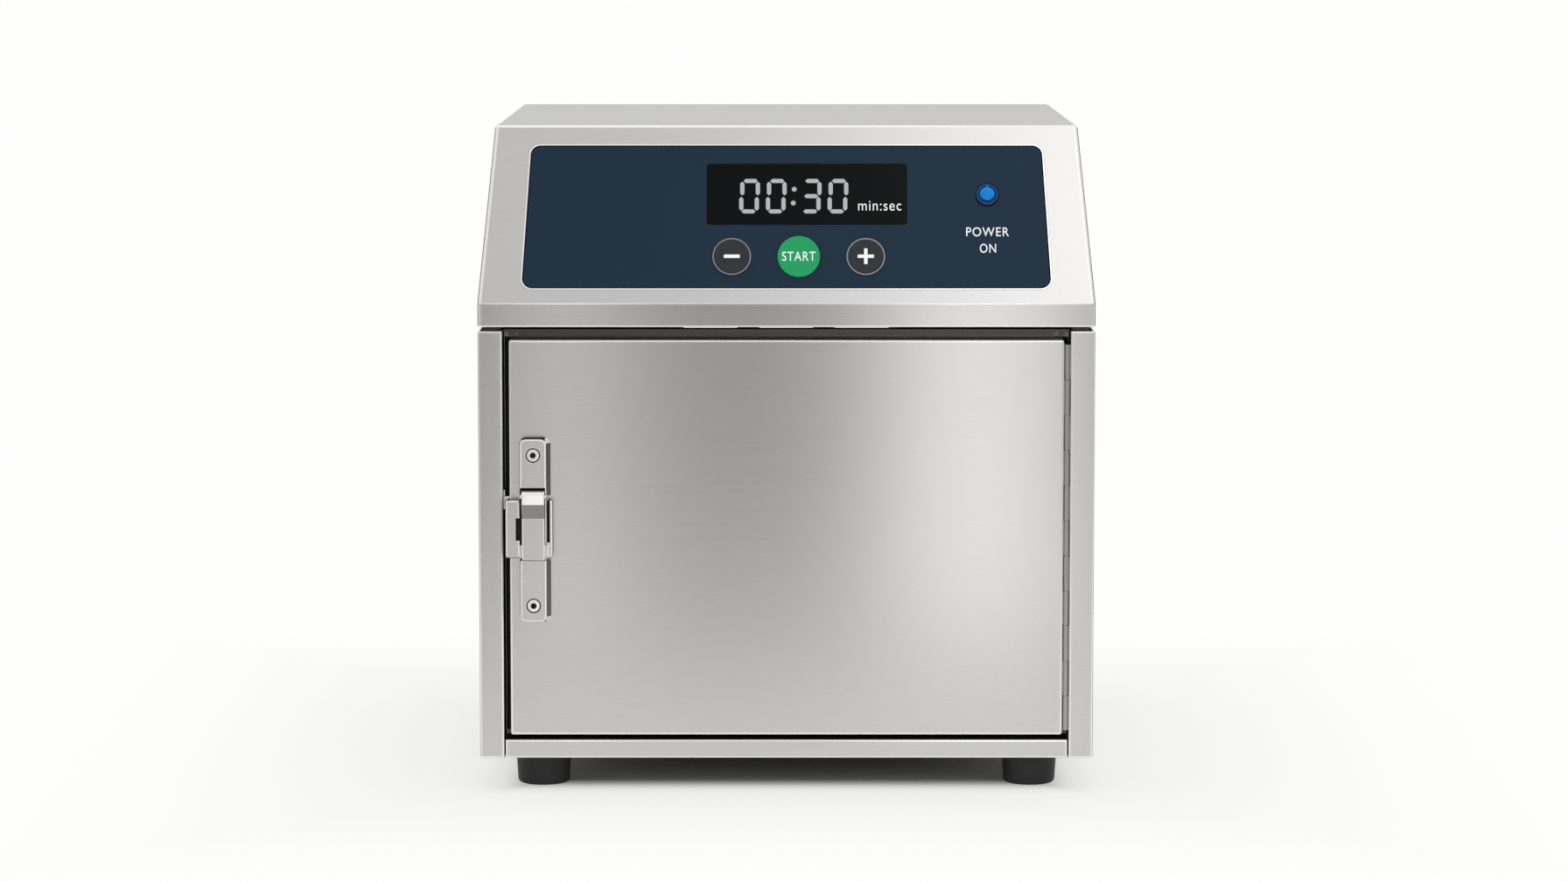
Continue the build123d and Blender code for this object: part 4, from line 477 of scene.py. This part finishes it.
def finish_latch(materials):
    """Painted highlights on the latch's edges, right wall and upper facet; painted shade on its
    sides, lower facet, recesses and screw sockets.
    """
    low, high = (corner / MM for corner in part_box("latch_housing"))
    screw_low, screw_high = (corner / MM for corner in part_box("latch_screws"))
    head = (screw_high.x - screw_low.x) / 2
    middle_x = (screw_low.x + screw_high.x) / 2
    screw_heights = (screw_low.z + head, screw_high.z - head)
    recess_from = low.y + LATCH_EDGE_DEPTH
    socket_from = low.y + SOCKET_FROM

    def from_axis(point):
        return min(math.hypot(point.x - middle_x, point.z - z) for z in screw_heights)

    def sideways(point, normal):
        return max(abs(normal.x), abs(normal.z)) > SIDEWAYS

    def forward(normal):
        return normal.y < -SIDEWAYS

    def in_recess(point, normal):
        set_back = point.y > recess_from
        left_wall = forward(normal) and point.x < middle_x and set_back
        window = abs(point.x - middle_x) < WINDOW_HALF and set_back
        seat = from_axis(point) < SCREW_SEAT and point.y > socket_from
        return left_wall or window or seat

    def right_wall(point, normal):
        return forward(normal) and point.x > middle_x + WINDOW_HALF and point.y > recess_from

    def lever_arms(point, normal):
        return forward(normal) and recess_from < point.y < high.y

    def socket(point, normal):
        return from_axis(point) < SCREW_SOCKET and point.y > socket_from

    def upper_facet(point, normal):
        return normal.z > FACET and normal.y < -FACET

    def lower_facet(point, normal):
        return normal.z < -FACET and normal.y < -FACET

    for name in ("latch_housing", "latch_lever"):
        # Painted highlight on the rounded edges of the housing and lever
        repaint(name, materials["latch_painted_highlight"], bends(name, LATCH_FLAT_AREA))
        # Painted shade on the sides
        repaint(name, materials["painted_shade_flank"], sideways)
    # Painted shade on the left wall's front, in the window and in the screw seats
    repaint("latch_housing", materials["gap"], in_recess)
    # Painted highlight on the right wall's front
    repaint("latch_housing", materials["latch_painted_highlight"], right_wall)
    # Painted highlight on the lever's upper facet
    repaint("latch_lever", materials["edge"], upper_facet)
    # Painted shade on the lever's lower facet
    repaint("latch_lever", materials["painted_shade_flank"], lower_facet)
    # Painted shade in the lever's arm slots
    repaint("latch_lever", materials["gap"], lever_arms)
    # Painted shade in the screws' sockets
    repaint("latch_screws", materials["gap"], socket)


def finish_lamp(materials, face):
    """Only the lamp's dome is lit; the flange round it is dark blue."""
    low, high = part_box("power_lamp_bezel")
    middle = (low + high) / 2 / MM

    def on_flange(point, normal):
        offset = point - middle
        return (offset - face.out * offset.dot(face.out)).length > DOME_RADIUS

    repaint("power_lamp_lens", materials["lens_rim"], on_flange)


# ---------------------------------------------------------------- the sloping face
# How far the slope of the control face rises, and how far it sets back, in millimetres
FACE_RISE = 107.8
FACE_SETBACK = 41.0

# Heights above the slope's outer surface, in millimetres
FACEPLATE_TOP = -0.2
WINDOW_TOP = -0.4
CAP_TOP = 1.1
LAMP_RING_TOP = 1.0

# Lettering: thickness, sizes and places by X and by distance up the slope, in millimetres
LETTER_THICKNESS = 0.06
BUTTON_S = 30.1
START_SIZE = (20.6, 6.0)
POWER_SIZE = (26.4, 5.8)
POWER_S = 46.2
ON_SIZE = (10.0, 5.8)
ON_ASIDE = 0.1
ON_S = 35.6
UNITS_SIZE = (26.6, 6.3)
UNITS_X = 57.6
UNITS_S = 63.1
# Bars of the minus and plus signs: length and width, in millimetres, and a corner's share of width
MINUS_BAR = (9.8, 2.2)
PLUS_BAR = (10.0, 2.1)
BAR_CLIP = 0.12
# Outline growth, spacing and depth of the letters, in the units of Blender's text
LETTER_WEIGHT = 0.003
UNITS_WEIGHT = -0.003
LETTER_GAP = 1.12
LETTER_DEPTH = 0.01

# Faceplate's outline, and the painted highlight and painted shadow lines along it from an inner
# to an outer offset, in millimetres
PLATE_LOW = 9.8
PLATE_HIGH = 102.0
PLATE_HALF_LOW = 163.0
PLATE_HALF_HIGH = 158.0
PLATE_CORNER = 6.2
CORNER_STEPS = 8
LINE_THICKNESS = 0.1
PAINTED_HIGHLIGHT_LINE = (0.0, 0.9)
PAINTED_SHADOW_LINE = (-0.8, 0.0)

# Ring of painted highlight on the lamp's flange, in millimetres, and the points round it and
# round its wire
LAMP_S = 70.0
LAMP_RING = 6.2
LAMP_RING_WIRE = 0.32
LAMP_RING_STEPS = 48
LAMP_WIRE_STEPS = 8


class SlopeFace:
    """Places things on the control face by X and by the distance up the slope from its crease."""

    def __init__(self):
        low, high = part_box("hood_shell")
        length = math.hypot(FACE_RISE, FACE_SETBACK)
        self.up = Vector((0, FACE_SETBACK / length, FACE_RISE / length))
        self.out = Vector((0, -FACE_RISE / length, FACE_SETBACK / length))
        self.origin = Vector((0, low.y, high.z - FACE_RISE * MM))

    def matrix(self, x, s, height):
        """Frame whose X runs across, Y up the slope and Z out of it, from millimetres."""
        aside = Vector((x * MM, 0, 0))
        place = self.origin + aside + self.up * (s * MM) + self.out * (height * MM)
        turn = Matrix((Vector((1, 0, 0)), self.up, self.out)).transposed().to_4x4()
        return Matrix.Translation(place) @ turn


def centre_x(node):
    low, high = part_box(node)
    return (low.x + high.x) / 2 / MM


def add_object(name, data):
    made = bpy.data.objects.new(name, data)
    bpy.context.scene.collection.objects.link(made)
    return made


def new_piece(name, mesh, material, body):
    piece = add_object(name, mesh)
    mesh.materials.clear()
    mesh.materials.append(material)
    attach(piece, body)
    return piece


def finished_mesh(name, bm):
    """Mesh of a bmesh, with its faces turned outward."""
    bmesh.ops.recalc_face_normals(bm, faces=bm.faces)
    mesh = bpy.data.meshes.new(name)
    bm.to_mesh(mesh)
    bm.free()
    return mesh


def prism(name, corners, reach):
    """Mesh of a prism from its outline's corners and its reach, in millimetres."""
    bm = bmesh.new()
    outline = [bm.verts.new([value * MM for value in corner]) for corner in corners]
    made = bmesh.ops.extrude_face_region(bm, geom=[bm.faces.new(outline)])
    verts = [item for item in made["geom"] if isinstance(item, bmesh.types.BMVert)]
    bmesh.ops.translate(bm, verts=verts, vec=[value * MM for value in reach])
    return finished_mesh(name, bm)


def lettering(name, words, size, place, material, body, face, weight=LETTER_WEIGHT):
    """Printed word of a width and height, centred at X, distance up the slope and level."""
    curve = bpy.data.curves.new(name, "FONT")
    curve.body = words
    curve.offset = weight
    curve.space_character = LETTER_GAP
    curve.extrude = LETTER_DEPTH
    text = add_object(name, curve)
    bpy.context.view_layer.update()
    evaluated = text.evaluated_get(bpy.context.evaluated_depsgraph_get())
    mesh = bpy.data.meshes.new_from_object(evaluated)
    bpy.data.objects.remove(text)
    lows = [min(v.co[axis] for v in mesh.vertices) for axis in range(3)]
    highs = [max(v.co[axis] for v in mesh.vertices) for axis in range(3)]
    centre = Vector([(low + high) / 2 for low, high in zip(lows, highs)])
    lengths = (*size, LETTER_THICKNESS)
    stretch = [length * MM / (high - low) for length, low, high in zip(lengths, lows, highs)]
    x, s, level = place
    mesh.transform(Matrix.Translation(-centre))
    mesh.transform(Matrix.Diagonal((*stretch, 1)))
    mesh.transform(face.matrix(x, s, level + LETTER_THICKNESS / 2))
    mesh.name = name
    return new_piece(name, mesh, material, body)


def bar_corners(length, width):
    """Outline of a bar with clipped corners, centred on the origin."""
    clip = min(length, width) * BAR_CLIP
    a, w = length / 2, width / 2
    return [
        (a - clip, -w), (a, clip - w), (a, w - clip), (a - clip, w),
        (clip - a, w), (-a, w - clip), (-a, clip - w), (clip - a, -w),
    ]


def cross_corners(length, width):
    """Outline of a plus sign, centred on the origin."""
    a, w = length / 2, width / 2
    return [
        (w, a), (-w, a), (-w, w), (-a, w), (-a, -w), (-w, -w),
        (-w, -a), (w, -a), (w, -w), (a, -w), (a, w), (w, w),
    ]


def sign(name, corners, button, material, body, face):
    """Sign on the middle of a button's cap."""
    flat = [(across, up, 0) for across, up in corners]
    mesh = prism(name, flat, (0, 0, LETTER_THICKNESS))
    mesh.transform(face.matrix(centre_x(button), BUTTON_S, CAP_TOP))
    return new_piece(name, mesh, material, body)


def face_lettering(materials, face):
    """Generic words and signs: key signs, START, the lamp's caption and the display's units."""
    white = materials["ink"]
    sign("minus_sign", bar_corners(*MINUS_BAR), "minus_button", white, "minus_key", face)
    sign("plus_sign", cross_corners(*PLUS_BAR), "plus_button", white, "plus_key", face)
    place = (centre_x("start_button"), BUTTON_S, CAP_TOP)
    lettering("start_word", "START", START_SIZE, place, white, "start_key", face)
    lamp_x = centre_x("power_lamp_lens")
    place = (lamp_x, POWER_S, FACEPLATE_TOP)
    lettering("power_word", "POWER", POWER_SIZE, place, white, "casing", face)
    place = (lamp_x + ON_ASIDE, ON_S, FACEPLATE_TOP)
    lettering("on_word", "ON", ON_SIZE, place, white, "casing", face)
    place = (UNITS_X, UNITS_S, WINDOW_TOP)
    units = ("units_word", "min:sec", UNITS_SIZE, place, white, "casing", face)
    lettering(*units, weight=UNITS_WEIGHT)


def plate_loop(offset):
    """Outline of the faceplate as (x, s) points, grown by an offset."""
    lean = math.atan2(PLATE_HALF_LOW - PLATE_HALF_HIGH, PLATE_HIGH - PLATE_LOW)
    reach = PLATE_CORNER + offset
    right_corners = (
        (PLATE_LOW + PLATE_CORNER, -math.pi / 2, lean),
        (PLATE_HIGH - PLATE_CORNER, lean, math.pi / 2),
    )
    points = []
    for s, start, end in right_corners:
        half = PLATE_HALF_LOW - (s - PLATE_LOW) * math.tan(lean)
        x = half - PLATE_CORNER / math.cos(lean)
        for step in range(CORNER_STEPS + 1):
            turn = start + (end - start) * step / CORNER_STEPS
            points.append((x + reach * math.cos(turn), s + reach * math.sin(turn)))
    return points + [(-x, s) for x, s in reversed(points)]


def closed_strip(name, loops, material, place):
    """Piece from loops of points that follow each other round a closed section."""
    bm = bmesh.new()
    rings = [[bm.verts.new([value * MM for value in point]) for point in loop] for loop in loops]
    for ring, following in zip(rings, rings[1:] + rings[:1]):
        for index in range(len(ring)):
            after = (index + 1) % len(ring)
            bm.faces.new((ring[index], ring[after], following[after], following[index]))
    mesh = finished_mesh(name, bm)
    mesh.transform(place)
    new_piece(name, mesh, material, "casing")


def faceplate_lines(materials, face):
    """Painted highlight along the recess's folded edge, and a painted shadow line as the
    faceplate's dark border inside it.
    """
    for name, key, offsets, level, slot in (
        ("recess_painted_highlight", "edge", PAINTED_HIGHLIGHT_LINE, 0.0, "polished_steel"),
        ("faceplate_painted_shadow", "border", PAINTED_SHADOW_LINE, FACEPLATE_TOP, "navy_face"),
    ):
        inner, outer = (plate_loop(offset) for offset in offsets)
        section = ((inner, 0), (outer, 0), (outer, LINE_THICKNESS), (inner, LINE_THICKNESS))
        loops = [[(x, s, height) for x, s in loop] for loop, height in section]
        closed_strip(name, loops, materials[key], face.matrix(0, 0, level))


def lamp_highlight_ring(materials, face):
    """Thin painted highlight ring on the flange of the lamp's lens."""
    around = [math.tau * step / LAMP_RING_STEPS for step in range(LAMP_RING_STEPS)]
    loops = []
    for step in range(LAMP_WIRE_STEPS):
        turn = math.tau * step / LAMP_WIRE_STEPS
        radius = LAMP_RING + LAMP_RING_WIRE * math.cos(turn)
        height = LAMP_RING_WIRE * math.sin(turn)
        loops.append([(radius * math.cos(a), radius * math.sin(a), height) for a in around])
    place = face.matrix(centre_x("power_lamp_lens"), LAMP_S, LAMP_RING_TOP)
    closed_strip("lamp_highlight_ring", loops, materials["lamp_highlight_ring"], place)


# ---------------------------------------------------------------- strips beside the door
# In millimetres
STRIP_OUT = 3.6
STRIP_GAP = 0.1
STRIP_THICK = 1.6
STRIP_WIDTH = 8.0
STRIP_BEVEL = 0.6


def gap_strip(name, side, material):
    """Rubber strip on the chamber's front frame, seen at the back of the gap beside the door; its
    dark colour stands in as painted shade for the gap.
    """
    frame_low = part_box("chamber_liner")[0] / MM
    door_low, door_high = (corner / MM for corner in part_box("door_shell"))
    outer = (door_high.x - door_low.x) / 2 + STRIP_OUT
    inner = outer - STRIP_WIDTH
    back = frame_low.y - STRIP_GAP
    shoulder = back - STRIP_THICK / 2
    front = back - STRIP_THICK
    section = [
        (outer, back), (outer, shoulder), (outer - STRIP_BEVEL, front),
        (inner + STRIP_BEVEL, front), (inner, shoulder), (inner, back),
    ]
    corners = [(side * x, y, door_low.z) for x, y in section]
    mesh = prism(name, corners, (0, 0, door_high.z - door_low.z))
    strip = new_piece(name, mesh, material, "casing")


# ---------------------------------------------------------------- light, floor and camera
# Levels of the white room that the steel mirrors, and how much the dark flags at its sides take
WORLD_LIGHT = 0.6
ROOM_DIM = 0.26
ROOM_CEILING = 0.82
FLAG_SHADE = 0.7

# Parts of a mirrored ray's direction over which the room's levels change
CEILING_SWEEP = (0.1, 0.6)
ZENITH_SWEEP = (0.62, 0.85)
BACKDROP_SWEEP = (-0.9, 0.1)
FLAG_SWEEP = (0.8, 0.9)
BEHIND_SWEEP = (0.02, 0.15)

# The floor's half size, its mottle in cycles per metre and in shares of its colour, its levels of
# painted shade under the object and of painted light in its shadow, and the distances from the
# object's box where they change
FLOOR_HALF = 12.0
FLOOR_ROUGHNESS = 0.8
FLOOR_MOTTLE = 3
FLOOR_SHARES = (0.99, 1.01)
UNDER_SHADE = 0.45
SHADOW_LIFT = 0.68
UNDER_SWEEP = (-0.04, 0.01)
SHADOW_FOOT = (-0.05, -0.008)
SHADOW_TAIL = (-0.01, 0.3)
# Y over which the floor that the door mirrors goes from the room's dim level to white
FLOOR_DIM_SWEEP = (-1.6, -0.25)

# Softboxes: name, place, target, width and height, watts, and whether the steel mirrors it. The
# overhead one would burn out the hood's top seen from above, which mirrors the white room instead.
SOFTBOXES = (
    ("overhead_softbox", (0.0, 0.1, 1.9), (0, 0, 0.2), (1.6, 0.8), 7, False),
    ("slope_softbox", (0.45, -1.15, 1.15), (0.12, -0.15, 0.35), (0.7, 0.6), 1.35, True),
    ("right_strip", (0.145, -0.78, 0.22), (0.12, 0, 0.15), (0.12, 0.5), 0.3, True),
    ("left_strip", (-0.165, -0.78, 0.22), (-0.14, 0, 0.15), (0.04, 0.5), 0.12, True),
)


def seen_shares(graph):
    """1 for camera rays, and 1 for camera, mirror and clear rays together."""
    path = graph.node("ShaderNodeLightPath").outputs
    camera = path["Is Camera Ray"]
    both = graph.math("MAXIMUM", path["Is Glossy Ray"], path["Is Transmission Ray"])
    return camera, graph.math("MAXIMUM", camera, both)


def make_world():
    """White backdrop; the room that the door mirrors is dimmer, with dark flags at its sides."""
    world = bpy.data.worlds.new("studio")
    bpy.context.scene.world = world
    world.use_nodes = True
    room = Graph(world.node_tree)
    lighting = room.tree.nodes["Background"]
    lighting.inputs["Color"].default_value = (1, 1, 1, 1)
    lighting.inputs["Strength"].default_value = WORLD_LIGHT
    ray = room.axes("Generated")
    ceiling = room.span(ray["Z"], CEILING_SWEEP, (ROOM_DIM, ROOM_CEILING))
    zenith = room.span(ray["Z"], ZENITH_SWEEP, (0, 1))
    backdrop = room.span(ray["Y"], BACKDROP_SWEEP, (0, 1))
    studio = room.math("MAXIMUM", room.math("MAXIMUM", ceiling, backdrop), zenith)
    aside = room.span(room.math("ABSOLUTE", ray["X"]), FLAG_SWEEP, (0, FLAG_SHADE))
    flags = room.math("MULTIPLY", aside, room.span(ray["Y"], BEHIND_SWEEP, (0, 1)))
    studio = room.math("MULTIPLY", studio, room.math("SUBTRACT", 1.0, flags))
    camera, seen = seen_shares(room)
    shown = room.node("ShaderNodeBackground")
    shown.inputs["Color"].default_value = WHITE
    room.link(room.mix(camera, studio, 1.0), shown.inputs["Strength"])
    room.switch(seen, lighting, shown, "World Output")


def make_floor():
    """Pale floor that keeps the machine's shadow and runs out into the white backdrop, with painted
    shade under the machine and painted light lifting the shadow beside it.
    """
    mesh = bpy.data.meshes.new("floor")
    half = FLOOR_HALF
    corners = [(-half, -half, 0), (half, -half, 0), (half, half, 0), (-half, half, 0)]
    mesh.from_pydata(corners, [], [(0, 1, 2, 3)])
    floor = add_object("floor", mesh)
    paint = Shader("floor_paint", WHITE, FLOOR_ROUGHNESS, Specular_IOR_Level=0.1)
    place = paint.axes("Object")
    high = CAD_BOX[1]
    beside_x = paint.math("SUBTRACT", paint.math("ABSOLUTE", place["X"]), high.x)
    beside_y = paint.math("SUBTRACT", paint.math("ABSOLUTE", place["Y"]), high.y)
    beside = paint.math("MAXIMUM", beside_x, beside_y)
    grain = paint.span(paint.noise(FLOOR_MOTTLE), (0, 1), FLOOR_SHARES, shape="LINEAR")
    # Painted shade: the floor's colour darkens under the object's box
    painted_under_shade = paint.span(beside, UNDER_SWEEP, (UNDER_SHADE, 1))
    paint.tint(paint.math("MULTIPLY", painted_under_shade, grain), (0, 0, 0, 1), WHITE)
    # For camera and mirror rays, painted white light lifts the shadow beside the box, up to full
    # white farther out
    near = paint.span(beside, SHADOW_FOOT, (0, SHADOW_LIFT))
    far = paint.math("ADD", near, paint.span(beside, SHADOW_TAIL, (0, 1 - SHADOW_LIFT)))
    camera, seen = seen_shares(paint)
    studio = paint.span(place["Y"], FLOOR_DIM_SWEEP, (ROOM_DIM, 1))
    glow = paint.node("ShaderNodeEmission")
    glow.inputs["Color"].default_value = WHITE
    paint.link(paint.mix(camera, studio, 1.0), glow.inputs["Strength"])
    paint.switch(paint.math("MULTIPLY", far, seen), paint.surface, glow, "Material Output")
    mesh.materials.append(paint.material)


def make_lights():
    for name, place, target, size, watts, mirrored in SOFTBOXES:
        data = bpy.data.lights.new(name, "AREA")
        data.shape = "RECTANGLE"
        data.size, data.size_y = size
        data.energy = watts
        lamp = add_object(name, data)
        lamp.location = place
        aim = Vector(target) - Vector(place)
        lamp.rotation_euler = aim.to_track_quat("-Z", "Y").to_euler()
        lamp.visible_glossy = mirrored


def make_camera():
    data = bpy.data.cameras.new("camera")
    data.lens = LENS
    data.sensor_width = SENSOR
    camera = add_object("camera", data)
    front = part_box("left_side_panel")[0].y
    camera.location = (CAMERA_SIDE, front - CAMERA_DISTANCE, CAMERA_HEIGHT)
    camera.rotation_euler = (math.radians(90 - CAMERA_PITCH), 0, 0)
    bpy.context.scene.camera = camera


make_camera()
MATERIALS = make_materials()
dress_nodes(MATERIALS)
finish_edges(MATERIALS)
finish_latch(MATERIALS)
FACE = SlopeFace()
finish_lamp(MATERIALS, FACE)
faceplate_lines(MATERIALS, FACE)
lamp_highlight_ring(MATERIALS, FACE)
face_lettering(MATERIALS, FACE)
# Dark strips at the back of the door's gaps, standing in as painted shade
for SIDE, STRIP in ((-1, "left_gap_shade_strip"), (1, "right_gap_shade_strip")):
    gap_strip(STRIP, SIDE, MATERIALS["rubber"])
make_world()
make_floor()
make_lights()
bpy.context.scene.view_settings.view_transform = "Standard"
